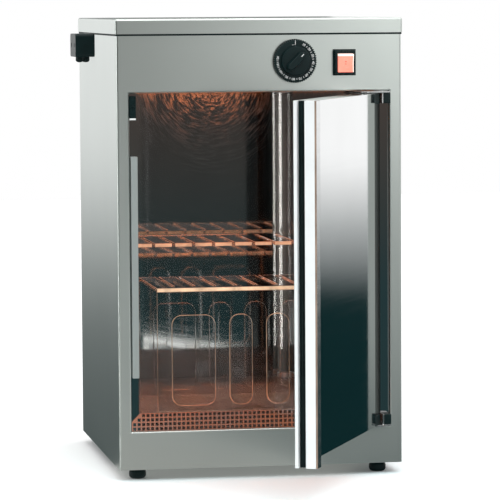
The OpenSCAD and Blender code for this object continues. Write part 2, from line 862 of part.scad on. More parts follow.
module switch_plunger() {
    dome = 0.5;
    color([0.85, 0.85, 0.83]) placed() {
        bar_y(plunger_x(), plunger_z(), plunger_d, plunger_rest + dome, guard_d / 2);
        bar_y(plunger_x(), plunger_z(), plunger_d - 2 * dome, plunger_rest, dome + eps);
    }
}

// Power inlet

module inlet_housing() {
    color(black) placed() translate([-inlet_out, inlet_y, inlet_z1 - inlet_h]) difference() {
        union() {
            rotate([90, 0, 90]) linear_extrude(inlet_out) round_rect(inlet_l, inlet_h, inlet_r);
            translate([inlet_out, inlet_l / 2, inlet_h / 2]) rotate([0, 90, 0])
                cylinder(d = inlet_h / 2 - guard_clear, h = sheet_t + spigot_in);
        }
        for (y = [inlet_l / 4, 3 * inlet_l / 4]) translate([-1, y, inlet_h / 2]) rotate([0, 90, 0])
            cylinder(d = screw_d + 2, h = 3);
    }
}

// Two round halves side by side, open below for the cord
module cord_entry() {
    wall = 2;
    color(black) placed()
        translate([-inlet_out / 2, inlet_y + inlet_l / 2, inlet_z1 - inlet_h - entry_h]) difference() {
            union() {
                for (x = [-1, 1]) translate([x * entry_d / 2.6, 0, 0]) cylinder(d = entry_d, h = entry_h);
            }
            translate([0, 0, -1]) cylinder(d = entry_d - 2 * wall, h = entry_h);
        }
}

// Hinges

// Arm over or under the door, from the pin to the foot beside the opening
module hinge_arm(z) {
    translate([0, 0, z]) difference() {
        linear_extrude(arm_t) {
            translate([pivot_x, pivot_y]) circle(arm_r);
            polygon([
                [pivot_x, pivot_y - arm_r], [bracket_x1, bracket_front],
                [bracket_x1, return_d], [bracket_x0 - arm_t, return_d],
                [bracket_x0 - arm_t, 0], [pivot_x, pivot_y + arm_r]
            ]);
        }
        translate([pivot_x, pivot_y, -1]) cylinder(d = pin_d, h = arm_t + 2);
    }
}

// Tab folded from the arm along the foot
module hinge_tab(z) {
    translate([bracket_x0 - arm_t, bracket_front, z]) cube([arm_t, return_d - bracket_front, block_h]);
}

module upper_hinge_bracket() {
    color(bright_steel) placed() {
        hinge_arm(upper_arm_z);
        hinge_tab(upper_arm_z - block_h);
    }
}

module lower_hinge_bracket() {
    color(bright_steel) placed() {
        hinge_arm(lower_arm_z);
        hinge_tab(lower_arm_z + arm_t);
    }
}

module hinge_foot(z) {
    color(black) placed() translate([bracket_x0, bracket_front, z])
        cube([bracket_w, return_d - bracket_front, block_h]);
}

module upper_hinge_foot() {
    hinge_foot(upper_arm_z - block_h);
}

module lower_hinge_foot() {
    hinge_foot(lower_arm_z + arm_t);
}

module upper_hinge_pin() {
    color(bright_steel) placed() translate([pivot_x, pivot_y, upper_arm_z - pin_reach])
        cylinder(d = pin_d, h = pin_reach + arm_t);
}

module lower_hinge_pin() {
    color(bright_steel) placed() translate([pivot_x, pivot_y, lower_arm_z])
        cylinder(d = pin_d, h = pin_reach + arm_t);
}

// Feet and fasteners

module at_feet() {
    for (x = [foot_inset_x, cabinet_w - foot_inset_x], y = [foot_inset_y, cabinet_d - foot_inset_y])
        translate([x, y, 0]) children();
}

module feet() {
    chamfer = 1.5;
    rubber_h = foot_h - foot_neck_h;
    color(black) placed() at_feet() translate([0, 0, -foot_h]) rotate_extrude() polygon([
        [0, 0], [foot_d / 2 - chamfer, 0], [foot_d / 2, chamfer], [foot_d / 2, rubber_h - chamfer],
        [foot_d / 2 - chamfer, rubber_h], [0, rubber_h]
    ]);
}

module foot_studs() {
    color(bright_steel) placed() at_feet() {
        translate([0, 0, -foot_neck_h]) cylinder(d = stud_d + 2 * neck_wall, h = foot_neck_h);
        translate([0, 0, -eps]) cylinder(d = stud_d - 2 * run_gap, h = stud_l);
    }
}

module foot_nuts() {
    color(bright_steel) placed() at_feet() translate([0, 0, sheet_t]) difference() {
        cylinder(d = nut_af_d * 2 / sqrt(3), h = nut_h, $fn = 6);
        translate([0, 0, -1]) cylinder(d = stud_d, h = nut_h + 2);
    }
}

// Round-headed screw along Y, with its head at the back
module back_screw(x, y, z) {
    bar_y(x, z, screw_head_d, y, screw_head_h);
    bar_y(x, z, screw_d - 2 * run_gap, y - screw_l, screw_l + eps);
}

module back_screws() {
    color(bright_steel) placed()
        for (x = screw_columns(), z = back_screw_heights()) back_screw(x, cabinet_d, z);
}

module lid_screws() {
    color(bright_steel) placed() for (x = screw_columns())
        back_screw(x, cabinet_d + lid_gap + sheet_t, cabinet_h - lid_h / 2);
}

// Door

module door_panel() {
    w = panel_x1 - panel_x0;
    d = door_t - skin_t;
    color(bright_steel) swung() translate([panel_x0, door_y0, door_z0]) difference() {
        cube([w, d, door_z1 - door_z0]);
        translate([skin_t, skin_t, skin_t])
            cube([w - 2 * skin_t, d, door_z1 - door_z0 - 2 * skin_t]);
    }
}

module door_liner() {
    color(bright_steel) swung() translate([panel_x0, -door_gap - skin_t, door_z0])
        cube([panel_x1 - panel_x0, skin_t, door_z1 - door_z0]);
}

// Extruded free edge with the finger groove
module handle_profile() {
    color([0.9, 0.9, 0.9]) swung() translate([0, 0, handle_z0]) linear_extrude(door_z1 - handle_z0)
        difference() {
            translate([door_x0, door_y0]) {
                translate([0, profile_r]) square([handle_w, door_t - 2 * profile_r]);
                translate([profile_r, 0]) square([handle_w - profile_r, door_t]);
                for (y = [profile_r, door_t - profile_r]) translate([profile_r, y]) circle(profile_r);
            }
            translate([door_x0 - 1, groove_y]) square([groove_d + 1, groove_w]);
        }
}

// Ribbed black lining in the bottom of the finger groove
module groove_strip() {
    ribs = 3;
    rib_w = 1.2;
    x0 = door_x0 + groove_d - strip_t;
    color(black) swung() translate([0, 0, handle_z0]) linear_extrude(door_z1 - handle_z0) {
        translate([x0, groove_y]) square([strip_t, groove_w]);
        for (i = [0 : ribs - 1])
            translate([x0 - rib_h, groove_y + (i + 0.5) * groove_w / ribs - rib_w / 2])
                square([rib_h + eps, rib_w]);
    }
}

// Outline that the hinge profile and its blocks share
module hinge_plan() {
    translate([panel_x1, door_y0]) {
        translate([0, profile_r]) square([hinge_w, door_t - 2 * profile_r]);
        square([hinge_w - profile_r, door_t]);
        for (y = [profile_r, door_t - profile_r]) translate([hinge_w - profile_r, y]) circle(profile_r);
    }
}

module hinge_profile() {
    color([0.55, 0.57, 0.58]) swung() translate([0, 0, door_z0 + block_h])
        linear_extrude(door_z1 - door_z0 - 2 * block_h) difference() {
            hinge_plan();
            translate([panel_x1 + hinge_wall, door_y0 + hinge_wall])
                square([hinge_w - 2 * hinge_wall, door_t - 2 * hinge_wall]);
        }
}

// Nylon end block: its spigot plugs into the hinge profile, its bore takes the pin
module pivot_block(z, up) {
    spigot_h = 10;
    fit = 0.1;
    color(black) swung() difference() {
        union() {
            translate([0, 0, z]) linear_extrude(block_h) hinge_plan();
            translate([panel_x1 + hinge_wall + fit, door_y0 + hinge_wall + fit,
                       up ? z - spigot_h : z + block_h - eps])
                cube([hinge_w - 2 * hinge_wall - 2 * fit, door_t - 2 * hinge_wall - 2 * fit, spigot_h + eps]);
        }
        translate([pivot_x, pivot_y, z - 1])
            cylinder(d = pin_d + 2 * run_gap, h = block_h + 2);
    }
}

module upper_pivot_block() {
    pivot_block(door_z1 - block_h, true);
}

module lower_pivot_block() {
    pivot_block(door_z0, false);
}

wrap_casing();
top_cover();
back_panel();
base_pan();
chamber_wrap();
chamber_ceiling();
chamber_floor();
perforated_floor();
magnet_strip();
front_rack_top();
front_rack_front();
front_rack_rear();
rear_rack_top();
rear_rack_left_end();
rear_rack_right_end();
lamp_tube();
lamp_caps();
upper_lampholder();
lower_lampholder();
ballast();
starter_base();
starter();
terminal_block();
timer_body();
timer_nut();
switch_body();
door_switch();
inlet_housing();
cord_entry();
upper_hinge_bracket();
lower_hinge_bracket();
upper_hinge_foot();
lower_hinge_foot();
upper_hinge_pin();
lower_hinge_pin();
feet();
foot_studs();
foot_nuts();
back_screws();
lid_screws();
door_panel();
door_liner();
handle_profile();
groove_strip();
hinge_profile();
upper_pivot_block();
lower_pivot_block();
timer_knob();
timer_shaft();
switch_rocker();
switch_plunger();
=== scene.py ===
"""Looks of the knife sterilizer cabinet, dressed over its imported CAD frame.

Everything is in metres in the frame's own axes: +Z up, the door at -Y, the hinge side at +X.
"""

import json
import math

import bpy
from bpy.props import FloatProperty, FloatVectorProperty, IntProperty, PointerProperty
from mathutils import Matrix, Vector

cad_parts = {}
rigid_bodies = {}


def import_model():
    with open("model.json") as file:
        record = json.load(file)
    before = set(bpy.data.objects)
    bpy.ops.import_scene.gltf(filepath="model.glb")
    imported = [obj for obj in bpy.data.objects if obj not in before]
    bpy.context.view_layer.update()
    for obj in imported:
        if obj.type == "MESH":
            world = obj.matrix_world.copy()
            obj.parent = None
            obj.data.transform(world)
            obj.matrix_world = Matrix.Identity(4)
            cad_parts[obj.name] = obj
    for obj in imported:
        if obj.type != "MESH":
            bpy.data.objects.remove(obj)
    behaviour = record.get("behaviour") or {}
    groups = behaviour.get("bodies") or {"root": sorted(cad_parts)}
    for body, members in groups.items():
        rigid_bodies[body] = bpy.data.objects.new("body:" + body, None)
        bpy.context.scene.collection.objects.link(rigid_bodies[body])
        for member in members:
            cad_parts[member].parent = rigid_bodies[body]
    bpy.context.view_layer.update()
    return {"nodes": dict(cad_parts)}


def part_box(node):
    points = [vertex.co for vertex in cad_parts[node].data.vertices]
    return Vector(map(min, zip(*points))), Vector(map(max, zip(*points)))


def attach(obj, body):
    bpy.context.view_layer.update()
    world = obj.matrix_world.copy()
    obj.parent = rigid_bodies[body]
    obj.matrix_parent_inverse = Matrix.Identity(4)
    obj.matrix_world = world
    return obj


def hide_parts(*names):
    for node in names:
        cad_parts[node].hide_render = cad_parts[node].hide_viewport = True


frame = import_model()
NODES = frame["nodes"]

bl_info = {
    "name": "Knife sterilizer cabinet",
    "version": (1, 0, 0),
    "blender": (4, 5, 0),
    "location": "3D view > Sidebar > Cabinet",
    "description": "Dresses the packed knife sterilizer cabinet and sets its stage",
    "category": "Object",
}

MM = 0.001
NOISE_LOW, NOISE_HIGH = 0.3, 0.7  # most of the noise falls between these
PRINT = 0.12 * MM  # thickness of printed marks
SMOOTH_ANGLE = math.radians(30)
FOOT_RADIUS = 11.5 * MM
DOOR_OPEN = math.radians(64)  # turn of the door at rest
SCREW_HEAD, SCREW_TALL, SCREW_SHANK = 8 * MM, 1.6 * MM, 4 * MM

# Surroundings by the height of the direction: a white room over dark ground behind, a dim room in front
HORIZON_SPAN = 0.6
DARK_GROUND = (0.005, 0.024, 0.026)
BRIGHT_WALL = (1.15, 1.15, 1.15)
REAR_ROOM = ((-0.092, DARK_GROUND), (-0.071, (0.48, 0.5, 0.5)), (-0.05, BRIGHT_WALL))
FRONT_ROOM = ((-0.09, (0.03, 0.065, 0.07)), (-0.03, (0.1, 0.08, 0.07)),
              (0.3, (0.3, 0.3, 0.3)), (0.6, (1.8, 1.8, 1.8)))
REAR_SIDE, FRONT_SIDE = 0.15, -0.35

# Stage sheets: the floor, a white patch on it and a dark board, the last two seen only in reflections
FLOOR_Z, PATCH_Z, BOARD_Y = -0.4 * MM, -0.2 * MM, 0.5
FLOOR_EDGE = ((-6, -6), (6, -6), (6, 6), (-6, 6))
PATCH_EDGE = ((-1.23, -1.9), (-0.75, -1.9), (0.2, 0.1), (-0.29, 0.1))
BOARD_EDGE = ((-0.19, 0.62), (0.22, 0.62), (0.22, 0.8), (-0.19, 0.8))
REFLECTED_ONLY = {"visible_camera": False, "visible_diffuse": False, "visible_shadow": False}

# Pieces that some lights reach alone, by how their names start; the studio light reaches all but those inside
INSIDE = ("chamber", "perforated", "front_rack", "rear_rack", "lamp_", "lower_lamp", "upper_lamp")
REACHED = {"inside": INSIDE, "low": ("perforated",), "casing": ("wrap_casing", "top_cover"),
           "lamp": ("lamp_glass",), "ground": ("floor",)}
WHITE = (1, 1, 1)


# Sizes and colours


def length(name, description, default):
    return FloatProperty(name=name, description=description, default=default, unit="LENGTH", precision=4)


def count(name, description, default):
    return IntProperty(name=name, description=description, default=default, min=1)


def angle(name, description, degrees):
    return FloatProperty(name=name, description=description, default=math.radians(degrees), unit="ROTATION")


def colour(name, description, default):
    return FloatVectorProperty(name=name, description=description, default=default,
                               subtype="COLOR", min=0, max=1)


class CabinetSizes(bpy.types.PropertyGroup):
    """Sizes of the pieces that the scene adds"""

    sheet: length("Floor sheet", "Thickness of the perforated floor sheet", 1 * MM)
    hole: length("Hole", "Side of a square hole in the floor sheet", 4.2 * MM)
    pitch: length("Hole pitch", "Distance between the holes", 6 * MM)
    floor_gap: length("Floor gap", "How far the floor sheet reaches beyond the rear rack", 0.5 * MM)
    # The dark strip under the lid is painted shade, standing in for the shadow gap between the lid and the
    # casing
    seal: length("Lid seal", "Height of the dark strip under the lid", 2.4 * MM)
    seal_out: length("Lid seal depth", "How far that strip stands out of the casing", 0.6 * MM)
    bend: length("Bend", "Rounding of the casing's sharp edges", 0.5 * MM)
    lip: length("Opening edge", "Rounding of the door opening's front edge", 2.4 * MM)
    foot_disc: length("Foot disc", "Height of a foot's rubber disc", 12.4 * MM)
    rim_teeth: count("Rim teeth", "Teeth round the knob's skirt", 60)
    number_size: length("Number size", "Height of the dial's numbers", 3.4 * MM)
    dial_step: count("Dial step", "Minutes from one dial number to the next", 10)
    dial_last: count("Dial end", "Highest number on the dial", 120)


class CabinetColours(bpy.types.PropertyGroup):
    """Colours of the finishes"""

    satin: colour("Satin steel", "Casing sheet", (0.575, 0.62, 0.59))
    polished: colour("Polished steel", "Chamber and door sheet", (0.74, 0.75, 0.75))
    clear: colour("Clear sheet", "Faces of the clear racks", (0.98, 0.98, 0.97))
    # Orange glow painted on the racks' cut edges, standing in for the warm light they catch
    clear_edge: colour("Clear edge", "Cut edges of the clear racks", (1.0, 0.66, 0.42))
    profile: colour("White profile", "Coated door profile", (0.75, 0.76, 0.76))
    black: colour("Black plastic", "Knob, collar and blocks", (0.004, 0.014, 0.0145))
    lit: colour("Lit rocker", "Glow of the rocker", (1.0, 0.25, 0.18))
    # Painted highlight: paler glow on the rocker's right and upper edges, where the light catches them, over
    # its own red glow
    lit_edge: colour("Lit edge", "Paler glow at the rocker's edges", (1.0, 0.78, 0.7))
    warm: colour("Warm light", "Light inside the chamber", (1.0, 0.25, 0.07))


class StageSettings(bpy.types.PropertyGroup):
    """Place, turn and lens of the camera"""

    place: FloatVectorProperty(name="Camera place", description="Where the camera stands",
                               default=(-0.72175, -4.2168, 0.636), subtype="TRANSLATION")
    yaw: angle("Yaw", "Turn of the camera", -9.811)
    pitch: angle("Pitch", "How far the camera looks down", 4.46)
    roll: angle("Roll", "Roll of the camera", -0.34)
    focal: FloatProperty(name="Focal length", description="Lens on a 36 mm sensor", default=228.6)


def sizes():
    return bpy.context.scene.cabinet_sizes


def colours():
    return bpy.context.scene.cabinet_colours


# Material helpers


class Nodes:
    """A node tree, and short ways to fill it"""

    def __init__(self, tree):
        self.tree = tree

    def feed(self, node, inputs):
        """Sets a node's inputs, each to a constant or to another node's output"""
        for key, value in inputs.items():
            socket = node.inputs[key.replace("_", " ")]
            if isinstance(value, bpy.types.NodeSocket):
                self.tree.links.new(value, socket)
            else:
                socket.default_value = value
        return node

    def node(self, kind, output, operation=None, **inputs):
        """One output of a new node"""
        made = self.tree.nodes.new("ShaderNode" + kind)
        if operation:
            made.operation = operation
        return self.feed(made, inputs).outputs[output]

    def ramp(self, output, stops):
        """Colour along stops, each a position and a shade"""
        made = self.tree.nodes.new("ShaderNodeValToRGB")
        marks = made.color_ramp.elements
        while len(marks) < len(stops):
            marks.new(0.5)
        for mark, (position, shade) in zip(marks, stops):
            mark.position, mark.color = position, (*shade, 1)
        return self.feed(made, {"Fac": output}).outputs["Color"]


class Finish(Nodes):
    """A node material with one Principled shader"""

    def __init__(self, name):
        self.material = bpy.data.materials.new(name)
        self.material.use_nodes = True
        super().__init__(self.material.node_tree)
        self.coords = self.node("TexCoord", "Object")

    def set(self, **inputs):
        self.feed(self.tree.nodes["Principled BSDF"], inputs)
        return self

    def noise(self, scale, detail):
        """Noise, with one scale or its own scale along each axis"""
        scales = scale if isinstance(scale, tuple) else (scale,) * 3
        place = self.node("Mapping", "Vector", Vector=self.coords, Scale=scales)
        return self.node("TexNoise", "Fac", Vector=place, Scale=1.0, Detail=detail, Roughness=0.55)

    def spread(self, noise, low, high):
        """Noise spread from low to high"""
        return self.node("MapRange", "Result", Value=noise, From_Min=NOISE_LOW, From_Max=NOISE_HIGH,
                         To_Min=low, To_Max=high)

    def shades(self, noise, dark, light):
        """Colour between two shades"""
        return self.ramp(noise, ((NOISE_LOW, dark), (NOISE_HIGH, light)))

    def cloud(self, scale, detail, dark, light):
        """Base colour that drifts between two shades"""
        self.set(Base_Color=self.shades(self.noise(scale, detail), dark, light))

    def sheen(self, scale, detail, smooth, rough):
        """Roughness that drifts between two values"""
        self.set(Roughness=self.spread(self.noise(scale, detail), smooth, rough))

    def bump(self, noise, strength, distance):
        self.set(Normal=self.node("Bump", "Normal", Height=noise, Strength=strength, Distance=distance))


def times(shade, factor):
    return tuple(min(1.0, c * factor) for c in shade)


def steel(name, shade, grain, smooth, rough, wave=0):
    """Sheet steel: grain is the noise scale, by axis or for all; wave is the depth of a slight waviness"""
    finish = Finish(name).set(Metallic=1.0)
    lines = finish.noise(grain, 4.0)
    finish.set(Roughness=finish.spread(lines, smooth, rough))
    finish.cloud(5, 2.0, times(shade, 0.97), times(shade, 1.03))
    if wave:
        finish.bump(finish.noise(9, 1.0), strength=0.35, distance=wave)
    else:
        finish.bump(lines, strength=0.04, distance=0.02 * MM)
    return finish.material


def moulded(name, shade, rough, pebble=900, depth=0.04 * MM):
    """Moulded plastic or rubber with a fine texture; a pale one is glossier and more even"""
    shine, swing = (0.5, 0.02) if shade[1] > 0.3 else (0.2, 0.2)
    finish = Finish(name).set(Specular_IOR_Level=shine)
    pebbles = finish.noise(pebble, 2.0)
    finish.cloud(40, 3.0, times(shade, 1 - swing), times(shade, 1 + swing))
    finish.set(Roughness=finish.spread(pebbles, rough * 0.85, rough * 1.15))
    finish.bump(pebbles, strength=0.3, distance=depth)
    return finish.material


def glowing(name, shade, dimmest, strength, detail=2.0, pebble=400, smooth=0.18, rough=0.3):
    """Plastic that gives light, from dimmest times its shade up to its shade: the rocker's own glow, and also
    painted glow and highlights on the rack edges and the rocker's edges
    """
    finish = Finish(name).set(Emission_Strength=strength)
    glow = finish.shades(finish.noise(60, detail), times(shade, dimmest), shade)
    finish.set(Base_Color=glow, Emission_Color=glow)
    finish.sheen(pebble, 2.0, smooth, rough)
    return finish


def dress(material, *nodes):
    for name in nodes:
        slots = NODES[name].data.materials
        slots.clear()
        slots.append(material)


# Modelling helpers


def object_mode():
    bpy.ops.object.mode_set(mode="OBJECT")


def edit_mode():
    bpy.ops.object.mode_set(mode="EDIT")


def apply_place():
    bpy.ops.object.transform_apply(location=True, rotation=True, scale=True)


def clear_selection():
    if bpy.context.mode != "OBJECT":
        object_mode()
    bpy.ops.object.select_all(action="DESELECT")


def select_only(*objects):
    clear_selection()
    for o in objects:
        o.select_set(True)
    bpy.context.view_layer.objects.active = objects[0]


def joined(objects):
    select_only(*objects)
    bpy.ops.object.join()
    return bpy.context.object


def settle(made):
    """Leaves the object at the origin with its place in its mesh, and its faces outwards"""
    select_only(made)
    apply_place()
    edit(made, "SELECT")
    bpy.ops.mesh.remove_doubles(threshold=1e-6)
    bpy.ops.mesh.normals_make_consistent(inside=False)
    object_mode()


def finish_piece(made, name, body, material, *, replaces=()):
    """Name, smooth shading, material, and the body that the piece rides on"""
    settle(made)
    made.name = made.data.name = name
    bpy.ops.object.shade_smooth_by_angle(angle=SMOOTH_ANGLE)
    apply_modifier(made, "WEIGHTED_NORMAL", keep_sharp=True)
    if material:
        made.data.materials.clear()
        made.data.materials.append(material)
    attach(made, body)
    if replaces:
        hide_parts(*replaces)
    return made


def apply_modifier(made, kind, **values):
    modifier = made.modifiers.new(kind.title(), kind)
    for key, value in values.items():
        setattr(modifier, key, value)
    select_only(made)
    bpy.ops.object.modifier_apply(modifier=modifier.name)


def box_piece(low, high):
    """Box between two corners, as its own object"""
    clear_selection()
    low, high = Vector(low), Vector(high)
    bpy.ops.mesh.primitive_cube_add(size=1, location=(low + high) / 2)
    made = bpy.context.object
    made.scale = high - low
    apply_place()
    return made


def cylinder(sides, radius, low, high, middle=(0, 0)):
    """Upright cylinder between two heights, as its own object"""
    clear_selection()
    bpy.ops.mesh.primitive_cylinder_add(vertices=sides, radius=radius, depth=high - low,
                                        location=(*middle, (low + high) / 2), end_fill_type="NGON")
    apply_place()
    return bpy.context.object


def rounded(made, radius, segments=3, mark=-1):
    """Rounds every sharp edge; mark is the material slot that the roundings take"""
    apply_modifier(made, "BEVEL", width=radius, segments=segments, limit_method="ANGLE",
                   angle_limit=math.radians(40), material=mark)
    return made


def softened(node, body, material, radius, segments=2):
    """Copy of a CAD node with its sharp edges rounded, which then stands for it"""
    made = rounded(copied_node(node), radius, segments)
    return finish_piece(made, node + "_rounded", body, material, replaces=[node])


def edit(made, action="DESELECT"):
    """Edit mode, by faces, with nothing selected or with all of it"""
    select_only(made)
    edit_mode()
    bpy.ops.mesh.select_mode(type="FACE")
    bpy.ops.mesh.select_all(action=action)


def pick(made, test):
    """Edit mode with those faces selected whose middle and normal pass the test"""
    edit(made)
    object_mode()
    for face in made.data.polygons:
        face.select = test(face.center, face.normal)
    edit_mode()


def dot(radius):
    """Printed dot lying at the origin"""
    return rounded(cylinder(24, radius, -PRINT / 2, PRINT / 2), PRINT / 3, 1)


def round_over(width, depth, steps, left=0):
    """Insets the picked faces in steps along a quarter of an oval, with some of the last steps left out"""
    turns = [math.pi / 2 * i / steps for i in range(steps + 1 - left)]
    for a, b in zip(turns, turns[1:]):
        bpy.ops.mesh.inset(thickness=width * (math.cos(a) - math.cos(b)),
                           depth=depth * (math.sin(b) - math.sin(a)))


def spread_faces(x, y):
    bpy.ops.transform.resize(value=(x, y, 1), center_override=(0, 0, 0))


def turned(made, place, turn=(0, 0, 0)):
    made.location, made.rotation_euler = place, turn
    select_only(made)
    apply_place()
    return made


def copied_node(name):
    """Merged copy of a CAD node's mesh, to be shaped further"""
    clear_selection()
    source = NODES[name]
    made = source.copy()
    made.data = source.data.copy()
    made.parent = None
    for key in list(made.keys()):
        del made[key]
    bpy.context.scene.collection.objects.link(made)
    made.data.materials.clear()
    select_only(made)
    bpy.ops.mesh.customdata_custom_splitnormals_clear()
    edit(made, "SELECT")
    bpy.ops.mesh.remove_doubles(threshold=2e-6)
    bpy.ops.mesh.dissolve_limited(angle_limit=math.radians(1))
    object_mode()
    return made


# Operators


class CABINET_OT_casing(bpy.types.Operator):
    """Satin steel on the casing, the lid, the back and the base, and a dark strip under the lid, painted
    shade for the shadow gap there
    """

    bl_idname = "cabinet.casing"
    bl_label = "Casing"

    def wrap(self, satin):
        """Casing wrap whose opening has a well rounded front edge"""
        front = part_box("wrap_casing")[0].y
        edge_low, edge_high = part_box("chamber_wrap")
        margin, shortest = 5 * MM, 100 * MM
        made = copied_node("wrap_casing")
        points = made.data.vertices
        edit(made)
        bpy.ops.mesh.select_mode(type="EDGE")
        object_mode()
        for line in made.data.edges:
            ends = [points[i].co for i in line.vertices]
            at_opening = all(abs(p.y - front) < PRINT and
                             edge_low.z - margin < p.z < edge_high.z + margin for p in ends)
            line.select = at_opening and (ends[0] - ends[1]).length > shortest
        edit_mode()
        bpy.ops.mesh.bevel(offset=sizes().lip, segments=5, affect="EDGES")
        object_mode()
        rounded(made, sizes().bend, 2)
        finish_piece(made, "wrap_casing_rounded", "cabinet", satin, replaces=["wrap_casing"])

    def seal(self):
        """Thin dark strip all round, between the lid's edge and the casing: painted shade standing in for the
        shadow gap under the lid
        """
        s = sizes()
        low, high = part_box("wrap_casing")
        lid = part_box("top_cover")[0].z
        bar = box_piece((low.x, low.y, lid - s.seal), (high.x, high.y, lid))
        pick(bar, lambda c, n: abs(n.z) < 0.5)
        bpy.ops.mesh.select_all(action="INVERT")
        bpy.ops.mesh.delete(type="FACE")
        object_mode()
        apply_modifier(bar, "SOLIDIFY", thickness=s.seal_out, offset=1)
        rounded(bar, s.seal_out / 2, 2)
        # Black strip: painted shadow of the gap under the lid
        dark = moulded("seal_rubber", colours().black, rough=0.6)
        finish_piece(bar, "lid_seal", "cabinet", dark)

    def execute(self, context):
        satin = steel("satin_steel", colours().satin, grain=(300, 300, 6), smooth=0.28, rough=0.3)
        self.wrap(satin)
        softened("top_cover", "cabinet", satin, radius=sizes().bend, segments=3)
        dress(satin, "back_panel", "base_pan")
        self.seal()
        return {"FINISHED"}


class CABINET_OT_chamber(bpy.types.Operator):
    """Mirror-polished sheet inside the chamber, and the strip on its jamb"""

    bl_idname = "cabinet.chamber"
    bl_label = "Chamber"

    def wall(self):
        """Polished sheet with arcs of fine polishing marks round a point high on the back wall"""
        shade = times(colours().polished, 0.75)
        wall = Finish("polished_steel").set(Metallic=1.0)
        low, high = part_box("chamber_ceiling")
        place = wall.node("Mapping", "Vector", Vector=wall.coords, Scale=(1, 0, 1),
                          Location=(-(low.x + high.x) / 2, 0, -low.z))
        reach = wall.node("VectorMath", "Value", operation="LENGTH", Vector=place)
        turn = wall.node("Math", "Value", operation="ARCTAN2")
        for axis, socket in zip("XZ", turn.node.inputs):
            wall.tree.links.new(wall.node("SeparateXYZ", axis, Vector=place), socket)
        depth = wall.node("SeparateXYZ", "Y", Vector=wall.coords)
        polar = wall.node("CombineXYZ", "Vector", X=reach, Y=turn, Z=depth)
        stretch = wall.node("Mapping", "Vector", Vector=polar, Scale=(400, 5, 60))
        marks = wall.node("TexNoise", "Fac", Vector=stretch, Scale=1.0, Detail=2.0)
        fade = wall.node("MapRange", "Result", Value=reach, From_Min=0.03, From_Max=0.14,
                         To_Min=0.27, To_Max=0.07)
        wall.set(Roughness=wall.node("MapRange", "Result", Value=marks, From_Min=0.4, From_Max=0.66,
                                     To_Min=0.035, To_Max=fade))
        wall.cloud(5, 2.0, times(shade, 0.95), times(shade, 1.02))
        wall.bump(marks, strength=0.05, distance=0.06 * MM)
        return wall.material

    def execute(self, context):
        dress(self.wall(), "chamber_wrap", "chamber_ceiling", "chamber_floor")
        strip = moulded("magnet_grey", (0.29, 0.32, 0.31), rough=0.42, pebble=300)
        low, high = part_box("magnet_strip")
        narrower = 1.2 * MM
        made = rounded(box_piece((low.x + narrower, low.y, low.z), high), 0.7 * MM, 2)
        finish_piece(made, "magnet_strip_rounded", "cabinet", strip, replaces=["magnet_strip"])
        return {"FINISHED"}


class CABINET_OT_floor_sheet(bpy.types.Operator):
    """Perforated floor sheet with real holes in its deck and its fall"""

    bl_idname = "cabinet.floor_sheet"
    bl_label = "Perforated floor"

    def holed(self, corner, width, depth):
        """Flat sheet full of square holes, reaching right and back from one corner"""
        s = sizes()
        columns, rows = round(width / s.pitch), round(depth / s.pitch)
        across, along = width / columns, depth / rows
        clear_selection()
        bpy.ops.mesh.primitive_plane_add(size=s.pitch)
        made = bpy.context.object
        edit_mode()
        bpy.ops.mesh.inset(thickness=(s.pitch - s.hole) / 2, depth=0)
        bpy.ops.mesh.delete(type="FACE")
        object_mode()
        made.scale = (across / s.pitch, along / s.pitch, 1)
        made.location = (across / 2, along / 2, 0)
        apply_place()
        for copies, step in ((columns, (across, 0, 0)), (rows, (0, along, 0))):
            apply_modifier(made, "ARRAY", count=copies, use_relative_offset=False, use_constant_offset=True,
                           constant_offset_displace=step, use_merge_vertices=True, merge_threshold=1e-5)
        apply_modifier(made, "SOLIDIFY", thickness=s.sheet, offset=-1)
        made.data.transform(Matrix.Translation(corner))
        return made

    def execute(self, context):
        s = sizes()
        low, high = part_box("perforated_floor")
        rack_low, rack_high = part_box("rear_rack_top")
        x0, x1 = rack_low.x - s.floor_gap, rack_high.x + s.floor_gap
        front = low.y + s.sheet
        deck = self.holed((x0, front, high.z), x1 - x0, high.y - front)
        cap_low, cap_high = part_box("lamp_caps")
        reach, side_start = 10 * MM, 20 * MM
        punch = cylinder(64, (cap_high.x - cap_low.x) / 2 + s.sheet, high.z - reach, high.z + reach,
                         ((cap_low + cap_high) / 2).xy)
        apply_modifier(deck, "BOOLEAN", object=punch, operation="DIFFERENCE")
        bpy.data.objects.remove(punch)
        fall = copied_node("perforated_floor")
        edit(fall, "SELECT")
        bpy.ops.mesh.bisect(plane_co=(0, front + PRINT, 0), plane_no=(0, 1, 0), clear_outer=True,
                            use_fill=True)
        object_mode()
        sides = [box_piece((x, low.y + side_start, low.z), (x + s.sheet, high.y, high.z - s.sheet / 2))
                 for x in (x0, x1 - s.sheet)]
        sheet = steel("polished_floor", times(colours().polished, 0.6), grain=40, smooth=0.2, rough=0.27)
        finish_piece(joined([deck, fall, *sides]), "perforated_floor_sheet", "cabinet", sheet,
                     replaces=["perforated_floor"])
        return {"FINISHED"}


